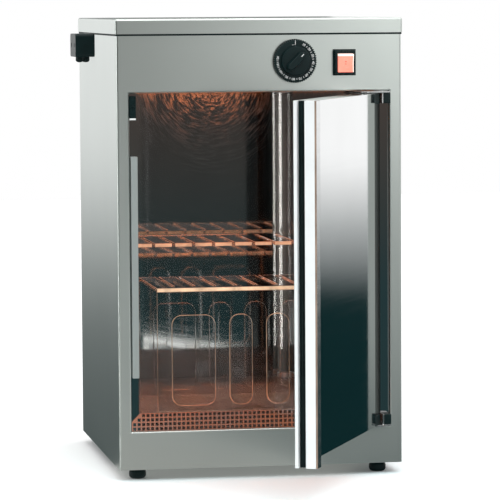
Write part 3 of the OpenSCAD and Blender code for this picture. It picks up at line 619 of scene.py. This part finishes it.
class CABINET_OT_racks(bpy.types.Operator):
    """Clear racks whose cut edges are polished and catch the light, shown by a painted orange glow on them"""

    bl_idname = "cabinet.racks"
    bl_label = "Racks"

    # Slots: clear face, thin end sheet, then edges with painted glow: plain, the brighter front edge of a
    # top, and dim
    FACE, THIN, EDGE, FRONT, DIM = range(5)

    def finishes(self):
        """Clear face, thin end sheet, and cut edges with a painted warm glow: plain ones, a brighter front
        one and a dim one
        """
        c = colours()
        face = Finish("clear_face").set(IOR=1.2, Transmission_Weight=1.0, Roughness=0.0)
        face.cloud(30, 2.0, times(c.clear, 0.97), c.clear)
        thin = Finish("clear_thin").set(Alpha=0.04, Specular_IOR_Level=0.0)
        thin.cloud(30, 2.0, (0.12, 0.12, 0.12), (0.2, 0.2, 0.2))
        thin.sheen(60, 3.0, 0.3, 0.4)
        made = [face, thin]
        # Painted glow on the cut edges, standing in for the warm light they catch: plain, brighter front, dim
        for name, glow, alpha in (("clear_edge", 0.2, 0.65), ("clear_end", 0.42, 0.9),
                                  ("clear_dim", 0.04, 0.2)):
            edge = glowing(name, c.clear_edge, dimmest=0.55, strength=glow, detail=3.0,
                           pebble=300, smooth=0.15, rough=0.4)
            made.append(edge.set(IOR=1.49, Alpha=alpha))
        return [finish.material for finish in made]

    def execute(self, context):
        finishes = self.finishes()
        near = 1 * MM
        for node in ("front_rack_top", "front_rack_front", "front_rack_rear", "rear_rack_top",
                     "rear_rack_left_end", "rear_rack_right_end"):
            made = copied_node(node)
            first = self.THIN if node.endswith("end") else self.FACE
            for finish in finishes[first:]:
                made.data.materials.append(finish)
            # Edges of tops and fronts take the plain painted glow, the rest the dim one; a top's front edge
            # takes the brighter one, a front's lower edge the dim one
            cut = self.EDGE if node.endswith(("top", "front")) else self.DIM
            rounded(made, 0.45 * MM, 1, mark=cut - first)
            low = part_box(node)[0]
            for face in made.data.polygons:
                if node.endswith("top") and face.normal.y < -0.99 and face.center.y < low.y + near:
                    face.material_index = self.FRONT
                elif node.endswith("front") and face.center.z < low.z + near:
                    face.material_index = self.DIM
            finish_piece(made, node + "_sheet", "cabinet", None, replaces=[node])
            made.visible_shadow = False
        return {"FINISHED"}


class CABINET_OT_lamp(bpy.types.Operator):
    """Lamp tube, its caps and holders, and the gear above the chamber"""

    bl_idname = "cabinet.lamp"
    bl_label = "Lamp and gear"

    def execute(self, context):
        glass = Finish("lamp_glass").set(IOR=1.5, Alpha=0.35)
        glass.cloud(20, 2.0, (0.02, 0.019, 0.018), (0.03, 0.029, 0.027))
        glass.sheen((30, 30, 20), 2.0, 0.06, 0.09)
        tube = copied_node("lamp_tube")
        pick(tube, lambda c, n: abs(n.z) > 0.5)
        bpy.ops.mesh.delete(type="FACE")
        object_mode()
        apply_modifier(tube, "SOLIDIFY", thickness=0.8 * MM, offset=-1)
        finish_piece(tube, "lamp_glass_tube", "cabinet", glass.material, replaces=["lamp_tube"])
        pale = moulded("white_plastic", (0.7, 0.7, 0.66), rough=0.4)
        for node in ("upper_lampholder", "lower_lampholder", "starter_base", "terminal_block"):
            softened(node, "cabinet", pale, radius=0.8 * MM)
        dress(pale, "starter")
        plate = steel("zinc_gear", (0.55, 0.56, 0.57), grain=120, smooth=0.3, rough=0.5)
        for node in ("lamp_caps", "ballast"):
            softened(node, "cabinet", plate, radius=0.8 * MM)
        return {"FINISHED"}


class CABINET_OT_door(bpy.types.Operator):
    """Polished skins, white free edge with its ribbed groove, and the hinge edge"""

    bl_idname = "cabinet.door"
    bl_label = "Door"

    # Slots of the white profile; the last is brown, a painted reflection on the lip's rounded corner
    COAT, SKIN, LIP, SEAM = range(4)

    def free_edge(self, skin):
        """White profile: steel on its inner face, a polished lip on its outer one, and brown painted on the
        lip's rounded corner as a painted reflection
        """
        c = colours()
        coat = moulded("white_profile", c.profile, rough=0.32, pebble=500, depth=0.01 * MM)
        made = softened("handle_profile", "door", coat, radius=0.5 * MM, segments=3)
        lip = steel("door_lip", c.polished, grain=(4, 4, 300), smooth=0.16, rough=0.22)
        # The brown on the lip's rounded corner is a painted reflection
        for finish in (skin, lip, moulded("seam_brown", (0.24, 0.17, 0.13), rough=0.5)):
            made.data.materials.append(finish)
        outward = Vector((math.sin(DOOR_OPEN), -math.cos(DOOR_OPEN), 0))
        lip_depth, inner_lean, corner_lean, flat_lean = 3 * MM, -0.6, 0.2, 0.95
        outer = max(v.co.dot(outward) for v in made.data.vertices) - lip_depth
        for face in made.data.polygons:
            lean = face.normal.dot(outward)
            if lean < inner_lean:
                face.material_index = self.SKIN
            # Flat outer faces take the polished lip; its rounded corner takes the painted reflection
            elif face.center.dot(outward) > outer and lean > corner_lean:
                face.material_index = self.LIP if lean > flat_lean else self.SEAM

    def execute(self, context):
        c = colours()
        skin = steel("door_skin", c.polished, grain=(4, 4, 300), smooth=0.05, rough=0.08, wave=0.12 * MM)
        softened("door_panel", "door", skin, radius=0.35 * MM)
        dress(skin, "door_liner")
        self.free_edge(skin)
        rubber = moulded("groove_rubber", c.black, rough=0.5)
        softened("groove_strip", "door", rubber, radius=0.3 * MM)
        grey = steel("grey_profile", (0.1, 0.11, 0.11), grain=(300, 300, 4), smooth=0.2, rough=0.28)
        softened("hinge_profile", "door", grey, radius=0.5 * MM)
        nylon = moulded("block_black", c.black, rough=0.35)
        for node in ("upper_pivot_block", "lower_pivot_block"):
            softened(node, "door", nylon, radius=0.8 * MM)
        return {"FINISHED"}


class CABINET_OT_hinges(bpy.types.Operator):
    """Brackets, pins and their black feet"""

    bl_idname = "cabinet.hinges"
    bl_label = "Hinges"

    def execute(self, context):
        plated = steel("zinc_steel", (0.62, 0.63, 0.63), grain=150, smooth=0.18, rough=0.32)
        nylon = moulded("hinge_foot_black", colours().black, rough=0.3)
        for end in ("upper", "lower"):
            softened(end + "_hinge_bracket", "cabinet", plated, radius=0.4 * MM)
            softened(end + "_hinge_foot", "cabinet", nylon, radius=1 * MM, segments=3)
            softened(end + "_hinge_pin", "cabinet", plated, radius=0.5 * MM)
        dress(plated, "timer_nut", "timer_shaft", "foot_studs", "foot_nuts")
        return {"FINISHED"}


class CABINET_OT_knob(bpy.types.Operator):
    """Timer knob: toothed skirt, raised disc, grip bar, and the dial's white marks"""

    bl_idname = "cabinet.knob"
    bl_label = "Timer knob"

    # Radius of the raised disc, and the heights of the skirt and of the disc
    DISC, RIM, TOP = 20 * MM, 6 * MM, 11.2 * MM
    # Turns of the first and the last number from the zero line
    FIRST, LAST = math.radians(28), math.radians(278)

    def skirt(self, radius):
        """Skirt with square teeth, and the disc raised on it, standing along Z"""
        tooth, chamfer, chamfer_tall, crown_tall = 1.1 * MM, 0.8 * MM, 0.5 * MM, 1.2 * MM
        teeth = sizes().rim_teeth
        step, growth = math.pi / teeth, radius / (radius - tooth)
        made = cylinder(2 * teeth, radius - tooth, 0, self.RIM - chamfer_tall)
        pick(made, lambda c, n: abs(n.z) < 0.5 and int(math.atan2(c.y, c.x) % math.tau / step) % 2 == 0)
        bpy.ops.mesh.extrude_region()
        spread_faces(growth, growth)
        pick(made, lambda c, n: n.z > 0.9 and c.xy.length < tooth)
        profile = (
            (chamfer, chamfer_tall),  # edge of the rim
            (radius - tooth - chamfer - self.DISC, 0),  # flat dial
            (0.6 * MM, self.TOP - self.RIM - crown_tall),  # wall of the disc
            (0.5 * MM, 0.8 * MM), (1.2 * MM, 0.4 * MM),  # its rounded edge
            (self.DISC - 5 * MM, -0.3 * MM),  # its hollow
        )
        for thickness, depth in profile:
            bpy.ops.mesh.inset(thickness=thickness, depth=depth)
        object_mode()
        return made

    def grip(self, long, wide, base, top):
        """Bar with round ends, drawn in towards its top, along one diagonal"""
        made = cylinder(48, wide / 2, base, top)
        for vertex in made.data.vertices:
            vertex.co.x += math.copysign((long - wide) / 2, vertex.co.x)
        pick(made, lambda c, n: n.z > 0.9)
        spread_faces(0.94, 0.8)
        object_mode()
        rounded(made, 1.1 * MM, 4)
        return turned(made, (0, 0, 0), (0, 0, math.radians(45)))

    def around(self, radius, turn, height):
        """Place on the dial, by its turn from the zero line"""
        return radius * math.sin(turn), radius * math.cos(turn), height

    def bar(self, long, wide, place, turn=0):
        """Printed line, along its own Y"""
        made = box_piece((-wide / 2, -long / 2, 0), (wide / 2, long / 2, PRINT))
        rounded(made, PRINT / 3, 1)
        return turned(made, place, (0, 0, turn))

    def number(self, value, radius, turn):
        """Dial number, upright when it is at the top of the dial"""
        clear_selection()
        bpy.ops.object.text_add()
        made = bpy.context.object
        made.data.body = str(value)
        made.data.size = sizes().number_size * (1.35 if value < 100 else 1.2)
        made.data.align_x, made.data.align_y = "CENTER", "CENTER"
        made.data.extrude, made.data.offset = PRINT / 2, 0.04 * MM
        made.data.resolution_u = 3
        bpy.ops.object.convert(target="MESH")
        return turned(bpy.context.object, self.around(radius, turn, self.RIM + PRINT / 2), (0, 0, -turn))

    def marks(self, radius, tall):
        """Numbers, the ticks between them, the zero line, three short lines, a dot and the grip's line"""
        s = sizes()
        steps = s.dial_last // s.dial_step
        gap = (self.LAST - self.FIRST) / (steps - 1)
        ring, inner = radius - 4.9 * MM, self.DISC + 1.6 * MM
        made = [self.number(s.dial_step * (i + 1), ring, self.FIRST + gap * i) for i in range(steps)]
        for i in range(steps - 1):
            turn = self.FIRST + gap * (i + 0.5)
            made.append(self.bar(2.4 * MM, 0.6 * MM, self.around(ring, turn, self.RIM), -turn))
        made.append(self.bar(5 * MM, 0.7 * MM, (0, radius - 4.2 * MM, self.RIM)))
        for degrees in (0, -5, -10):
            place = self.around(inner, math.radians(degrees), self.RIM)
            made.append(self.bar(1.2 * MM, 0.5 * MM, place, math.radians(90)))
        made.append(turned(dot(0.9 * MM), (13.2 * MM, -11 * MM, self.TOP - 0.4 * MM)))
        made.append(self.bar(4.5 * MM, 1 * MM, (7.4 * MM, 7.4 * MM, tall - PRINT / 2), math.radians(-45)))
        return made

    def execute(self, context):
        low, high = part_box("timer_knob")
        middle = Vector(((low.x + high.x) / 2, high.y, (low.z + high.z) / 2))
        radius, tall = (high.x - low.x) / 2, high.y - low.y
        lie = (math.radians(90), 0, 0)
        black = moulded("knob_black", colours().black, rough=0.32, pebble=700)
        skirt, sunk = self.skirt(radius), 0.5 * MM
        grip = self.grip(long=32 * MM, wide=11.5 * MM, base=self.TOP - sunk, top=tall)
        made = turned(joined([skirt, grip]), middle, lie)
        finish_piece(made, "knob_moulding", "knob", black, replaces=["timer_knob"])
        white = moulded("dial_white", (0.85, 0.86, 0.85), rough=0.5)
        made = turned(joined(self.marks(radius, tall)), middle, lie)
        finish_piece(made, "dial_marks", "knob", white)
        case = moulded("timer_black", colours().black, rough=0.4)
        softened("timer_body", "cabinet", case, radius=1 * MM)
        return {"FINISHED"}


class CABINET_OT_switches(bpy.types.Operator):
    """Lit rocker in its collar, and the door switch"""

    bl_idname = "cabinet.switches"
    bl_label = "Switches"

    def switch_end(self):
        """White end piece below the door switch, flush with its front"""
        tall, deep = 2.4 * MM, 6 * MM
        low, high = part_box("door_switch")
        made = box_piece((low.x, low.y, low.z - tall), (high.x, low.y + deep, low.z))
        white = moulded("switch_white", (0.85, 0.86, 0.85), rough=0.35)
        finish_piece(rounded(made, 0.4 * MM, 2), "door_switch_end", "cabinet", white)

    def rocker(self):
        """Lit rocker, with a painted highlight that makes it paler along its right and upper edges"""
        c = colours()
        lens = glowing("lit_red", c.lit, dimmest=0.85, strength=0.75)
        # Painted highlight on the right and upper edges, over the rocker's own glow
        pale = glowing("lit_edge", c.lit_edge, dimmest=0.9, strength=0.8)
        made = softened("switch_rocker", "rocker", lens.material, radius=0.9 * MM, segments=3)
        made.data.materials.append(pale.material)
        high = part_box("switch_rocker")[1]
        side, crown = high.x - 2.6 * MM, high.z - 3.4 * MM
        for place, way in (((side, 0, 0), (1, 0, 0)), ((0, 0, crown), (0, 0, 1))):
            edit(made, "SELECT")
            bpy.ops.mesh.bisect(plane_co=place, plane_no=way)
        object_mode()
        # Faces right of side or above crown take the painted highlight
        for face in made.data.polygons:
            face.material_index = int(face.center.x > side or face.center.z > crown)
        return made

    def dots(self, rocker):
        """Two small dark dots, one above the other, printed on the middle of the rocker"""
        low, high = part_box("switch_rocker")
        middle = (low + high) / 2
        before, off_middle = 100 * MM, 1.6 * MM
        made = []
        for z in (middle.z - off_middle, middle.z + off_middle):
            _, place, normal, _ = rocker.ray_cast((middle.x, low.y - before, z), (0, 1, 0))
            made.append(turned(dot(0.7 * MM), place + normal * PRINT / 2,
                               normal.to_track_quat("Z", "Y").to_euler()))
        dark = moulded("dot_dark", (0.12, 0.03, 0.025), rough=0.5)
        finish_piece(joined(made), "rocker_dots", "rocker", dark)

    def execute(self, context):
        black = moulded("switch_black", colours().black, rough=0.28)
        softened("switch_body", "cabinet", black, radius=1 * MM, segments=3)
        softened("door_switch", "cabinet", black, radius=0.8 * MM)
        softened("switch_plunger", "plunger", black, radius=0.4 * MM)
        self.switch_end()
        self.dots(self.rocker())
        return {"FINISHED"}


class CABINET_OT_inlet(bpy.types.Operator):
    """Power inlet on the left side with its cord entry"""

    bl_idname = "cabinet.inlet"
    bl_label = "Inlet"

    def boss(self, radius, tall):
        """Round boss hanging from the origin, its lower end domed round a small bore"""
        dome = 0.6 * radius
        made = cylinder(48, radius, dome - tall, 0)
        pick(made, lambda c, n: n.z < -0.9)
        round_over(radius, dome, steps=6, left=1)
        bpy.ops.mesh.inset(thickness=0.3 * MM, depth=-2 * MM)
        object_mode()
        return made

    def execute(self, context):
        black = moulded("inlet_black", colours().black, rough=0.38)
        made = softened("inlet_housing", "cabinet", black, radius=1.2 * MM, segments=3)
        made.visible_glossy = False
        low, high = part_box("cord_entry")
        radius = (high.y - low.y) / 2
        bosses = [turned(self.boss(radius, high.z - low.z), (x, (low.y + high.y) / 2, high.z))
                  for x in (low.x + radius, high.x - radius)]
        made = finish_piece(joined(bosses), "cord_bosses", "cabinet", black,
                            replaces=["cord_entry"])
        made.visible_glossy = False
        return {"FINISHED"}


class CABINET_OT_feet(bpy.types.Operator):
    """Rubber feet: a thick round-edged disc with a hollow top round its stud"""

    bl_idname = "cabinet.feet"
    bl_label = "Feet"

    def foot(self, radius, tall):
        """One foot standing at the origin"""
        rim = 0.38 * tall
        made = cylinder(64, radius, rim, tall - rim)
        for side, wall, hollow in ((1, 1.2 * MM, 0.6 * MM), (-1, 1.6 * MM, 1 * MM)):
            pick(made, lambda c, n: side * n.z > 0.9)
            round_over(rim, rim, steps=5)
            bpy.ops.mesh.inset(thickness=wall, depth=-hollow)
        object_mode()
        return made

    def execute(self, context):
        low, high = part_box("feet")
        feet = [turned(self.foot(FOOT_RADIUS, sizes().foot_disc), (x, y, low.z))
                for x in (low.x + FOOT_RADIUS, high.x - FOOT_RADIUS)
                for y in (low.y + FOOT_RADIUS, high.y - FOOT_RADIUS)]
        rubber = moulded("foot_rubber", colours().black, rough=0.55, pebble=500)
        finish_piece(joined(feet), "rubber_feet", "cabinet", rubber, replaces=["feet"])
        return {"FINISHED"}


class CABINET_OT_screws(bpy.types.Operator):
    """Pan-headed screws with a cross recess, in the back panel and the lid"""

    bl_idname = "cabinet.screws"
    bl_label = "Screws"

    def screw(self, reach):
        """One screw standing at the origin, its head up and its shank reaching down"""
        head, tall = SCREW_HEAD / 2, SCREW_TALL
        made = cylinder(32, head, 0, tall)
        pick(made, lambda c, n: n.z < -0.9)
        bpy.ops.mesh.inset(thickness=head - SCREW_SHANK / 2, depth=0)
        bpy.ops.mesh.extrude_region_move(TRANSFORM_OT_translate={"value": (0, 0, -reach)})
        object_mode()
        rounded(made, 0.45 * tall, 3)
        arm, web, bottom = 0.55 * head, 0.13 * head, 0.35 * tall
        for x, y in ((arm, web), (web, arm)):
            blade = box_piece((-x, -y, bottom), (x, y, 2 * tall))
            apply_modifier(made, "BOOLEAN", object=blade, operation="DIFFERENCE")
            bpy.data.objects.remove(blade)
        return made

    def execute(self, context):
        plated = steel("screw_steel", (0.6, 0.61, 0.61), grain=150, smooth=0.2, rough=0.35)
        head = SCREW_HEAD / 2
        for node, rows in (("back_screws", 4), ("lid_screws", 1)):
            low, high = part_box(node)
            reach = high.y - low.y - SCREW_TALL
            step = (high.z - low.z - SCREW_HEAD) / max(rows - 1, 1)
            made = [turned(self.screw(reach), (x, high.y - SCREW_TALL, low.z + head + i * step),
                           (math.radians(-90), 0, 0))
                    for x in (low.x + head, high.x - head) for i in range(rows)]
            finish_piece(joined(made), node + "_turned", "cabinet", plated, replaces=[node])
        return {"FINISHED"}


class CABINET_OT_stage(bpy.types.Operator):
    """Camera, pale floor, surroundings and lights"""

    bl_idname = "cabinet.stage"
    bl_label = "Stage"

    def camera(self):
        s = bpy.context.scene.cabinet_stage
        right = Vector((math.cos(s.yaw), math.sin(s.yaw), 0))
        level = Vector((-math.sin(s.yaw), math.cos(s.yaw), 0))
        ahead = level * math.cos(s.pitch) - Vector((0, 0, math.sin(s.pitch)))
        up = right.cross(ahead)
        rolled = right * math.cos(s.roll) + up * math.sin(s.roll)
        data = bpy.data.cameras.new("camera")
        data.lens = s.focal
        made = bpy.data.objects.new("camera", data)
        bpy.context.scene.collection.objects.link(made)
        turn = Matrix((rolled, rolled.cross(ahead), -ahead)).transposed().to_4x4()
        made.matrix_world = Matrix.Translation(s.place) @ turn
        bpy.context.scene.camera = made

    def linked(self):
        """Collections of the pieces that the lights reach"""
        made = {name: bpy.data.collections.new(name) for name in ("outside", *REACHED)}
        for piece in bpy.context.scene.objects:
            if piece.type == "MESH":
                if not piece.name.startswith(INSIDE):
                    made["outside"].objects.link(piece)
                for name, starts in REACHED.items():
                    if piece.name.startswith(starts):
                        made[name].objects.link(piece)
        return made

    def area(self, name, place, aim, size, watts, reached, shade=WHITE):
        """Rectangular light that shines from its place towards its aim, on the pieces that it reaches"""
        data = bpy.data.lights.new(name, "AREA")
        data.shape = "RECTANGLE"
        data.size, data.size_y = size
        data.energy = watts
        data.color = shade
        made = bpy.data.objects.new(name, data)
        bpy.context.scene.collection.objects.link(made)
        made.location = place
        made.rotation_euler = (Vector(aim) - Vector(place)).to_track_quat("-Z", "Y").to_euler()
        made.light_linking.receiver_collection = reached
        made.visible_camera = False
        return made

    def world(self):
        """White over a dark ground behind the cabinet, a dim room in front; the camera itself sees white"""
        world = bpy.data.worlds.new("studio")
        bpy.context.scene.world = world
        world.use_nodes = True
        sky = Nodes(world.node_tree)
        way = sky.node("TexCoord", "Generated")
        height = sky.node("MapRange", "Result", Value=sky.node("SeparateXYZ", "Z", Vector=way),
                          From_Min=-HORIZON_SPAN, From_Max=HORIZON_SPAN)
        side = sky.node("MapRange", "Result", Value=sky.node("SeparateXYZ", "Y", Vector=way),
                        From_Min=REAR_SIDE, From_Max=FRONT_SIDE)
        rear, front = (sky.ramp(height, [(0.5 + level / (2 * HORIZON_SPAN), shade) for level, shade in stops])
                       for stops in (REAR_ROOM, FRONT_ROOM))
        room = sky.node("MixRGB", "Color", Fac=side, Color1=rear, Color2=front)
        seen = sky.node("MixRGB", "Color", Fac=sky.node("LightPath", "Is Camera Ray"), Color1=room,
                        Color2=(*WHITE, 1))
        sky.feed(world.node_tree.nodes["Background"], {"Color": seen})

    def sheet(self, name, corners, finish, **flags):
        """Flat sheet of the stage, with its corners given round its edge"""
        clear_selection()
        bpy.ops.mesh.primitive_plane_add(size=1)
        made = bpy.context.object
        made.name = name
        for vertex, corner in zip((0, 1, 3, 2), corners):
            made.data.vertices[vertex].co = corner
        made.data.materials.append(finish.material)
        for key, value in flags.items():
            setattr(made, key, value)

    def shining(self, name, shade):
        """Finish that gives its own light and no other, and isn't sampled as a lamp"""
        made = Finish(name).set(Base_Color=(0, 0, 0, 1), Roughness=0.9, Emission_Color=(*shade, 1),
                                Emission_Strength=1.0)
        made.material.cycles.emission_sampling = "NONE"
        return made

    def sheets(self):
        """Pale floor, the white patch that fades to the right, and the dark board behind the lid"""
        pale = Finish("pale_floor").set(Base_Color=(0.95, 0.95, 0.95, 1), Roughness=0.9,
                                        Specular_IOR_Level=0.0, Emission_Color=(*WHITE, 1),
                                        Emission_Strength=0.04)
        self.sheet("floor", [(x, y, FLOOR_Z) for x, y in FLOOR_EDGE], pale,
                   visible_glossy=False, visible_transmission=False)
        patch = self.shining("pale_sheet", (1, 1, 0.97))
        across = patch.node("SeparateXYZ", "X", Vector=patch.coords)
        patch.set(Emission_Strength=patch.node("MapRange", "Result", Value=across, From_Min=-0.4,
                                               From_Max=-0.28, To_Min=1.6, To_Max=0.42))
        self.sheet("pale_sheet", [(x, y, PATCH_Z) for x, y in PATCH_EDGE], patch, **REFLECTED_ONLY)
        board = self.shining("lid_shade", (0.06, 0.07, 0.07))
        self.sheet("lid_shade", [(x, BOARD_Y, z) for x, z in BOARD_EDGE], board, **REFLECTED_ONLY)

    def lights(self):
        """Soft studio light, glints on the casing and the lamp, and the warm light in the chamber"""
        reached, warm = self.linked(), colours().warm
        outside, casing, inside, low = (reached[name] for name in ("outside", "casing", "inside", "low"))
        self.area("soft_right", (1.0, -1.1, 0.6), (0.05, -0.05, 0.3), (1.1, 1.4), 2.5, outside)
        self.area("soft_front", (0.95, -2.6, 0.9), (0, 0, 0.5), (0.9, 1.0), 4.9, outside)
        self.area("soft_left", (-1.6, -0.05, 0.42), (-0.15, 0, 0.3), (0.4, 1.15), 2.35, outside)
        fill = self.area("casing_fill", (0, -2.5, -0.02), (0, 0, 0.3), (1.4, 0.75), 1.45, casing)
        fill.data.use_shadow = False
        self.area("corner_glint", (-1.6, -0.24, 0.3), (-0.18, -0.05, 0.3), (0.05, 1.2), 2.6, casing)
        self.area("ground_fill", (0.12, -0.95, 0.85), (0.1, -0.45, 0), (0.7, 0.5), 7, reached["ground"],
                  shade=(0.6, 0.93, 1))
        self.area("right_glint", (1.6, 0, 0.35), (0.19, -0.05, 0.3), (0.6, 1.2), 2, casing)
        self.area("edge_glint", (0.1, -0.2, 1.6), (0.05, -0.05, 0.3), (0.5, 0.15), 2, casing)
        self.area("lamp_glint", (0, 0.29, 0.32), (0.11, 0.32, 0.32), (0.1, 0.4), 3.2, reached["lamp"],
                  shade=(1, 0.97, 0.93))
        self.area("chamber_warm", (0, 0.1, 0.512), (0, 0.1, 0), (0.22, 0.2), 0.75, inside, warm)
        self.area("fascia_warm", (0, -0.03, 0.506), (0, 0.34, 0.506), (0.3, 0.022), 0.01, inside, warm)
        self.area("fall_warm", (0, -0.5, 0.03), (0, 0, 0.08), (0.5, 0.06), 0.12, low, warm)
        deck = self.area("deck_warm", (0, 0.335, 0.13), (0, 0, 0.1), (0.32, 0.034), 0.024, low, warm)
        deck.data.cycles.use_multiple_importance_sampling = False

    def execute(self, context):
        self.camera()
        self.sheets()
        self.world()
        self.lights()
        context.scene.view_settings.view_transform = "Standard"
        return {"FINISHED"}


class CABINET_PT_sidebar(bpy.types.Panel):
    """Lists the pieces, sizes, colours and camera"""

    bl_idname = "CABINET_PT_sidebar"
    bl_label = "Knife sterilizer cabinet"
    bl_space_type = "VIEW_3D"
    bl_region_type = "UI"
    bl_category = "Cabinet"

    def draw(self, context):
        for operator in OPERATORS:
            self.layout.operator(operator.bl_idname)
        for key in GROUPS:
            group = getattr(context.scene, key)
            for name in group.bl_rna.properties.keys():
                if name not in ("rna_type", "name"):
                    self.layout.prop(group, name)


OPERATORS = (CABINET_OT_casing, CABINET_OT_chamber, CABINET_OT_floor_sheet, CABINET_OT_racks, CABINET_OT_lamp,
             CABINET_OT_door, CABINET_OT_hinges, CABINET_OT_knob, CABINET_OT_switches, CABINET_OT_inlet,
             CABINET_OT_feet, CABINET_OT_screws, CABINET_OT_stage)
GROUPS = {"cabinet_sizes": CabinetSizes, "cabinet_colours": CabinetColours, "cabinet_stage": StageSettings}


def register():
    for made in (*GROUPS.values(), *OPERATORS, CABINET_PT_sidebar):
        bpy.utils.register_class(made)
    for name, group in GROUPS.items():
        setattr(bpy.types.Scene, name, PointerProperty(type=group))


def unregister():
    for name in GROUPS:
        delattr(bpy.types.Scene, name)
    for made in (CABINET_PT_sidebar, *reversed(OPERATORS), *reversed(GROUPS.values())):
        bpy.utils.unregister_class(made)


def main():
    register()
    clear_selection()
    for operator in OPERATORS:
        group, name = operator.bl_idname.split(".")
        getattr(getattr(bpy.ops, group), name)()
    clear_selection()


if __name__ == "__main__":
    main()
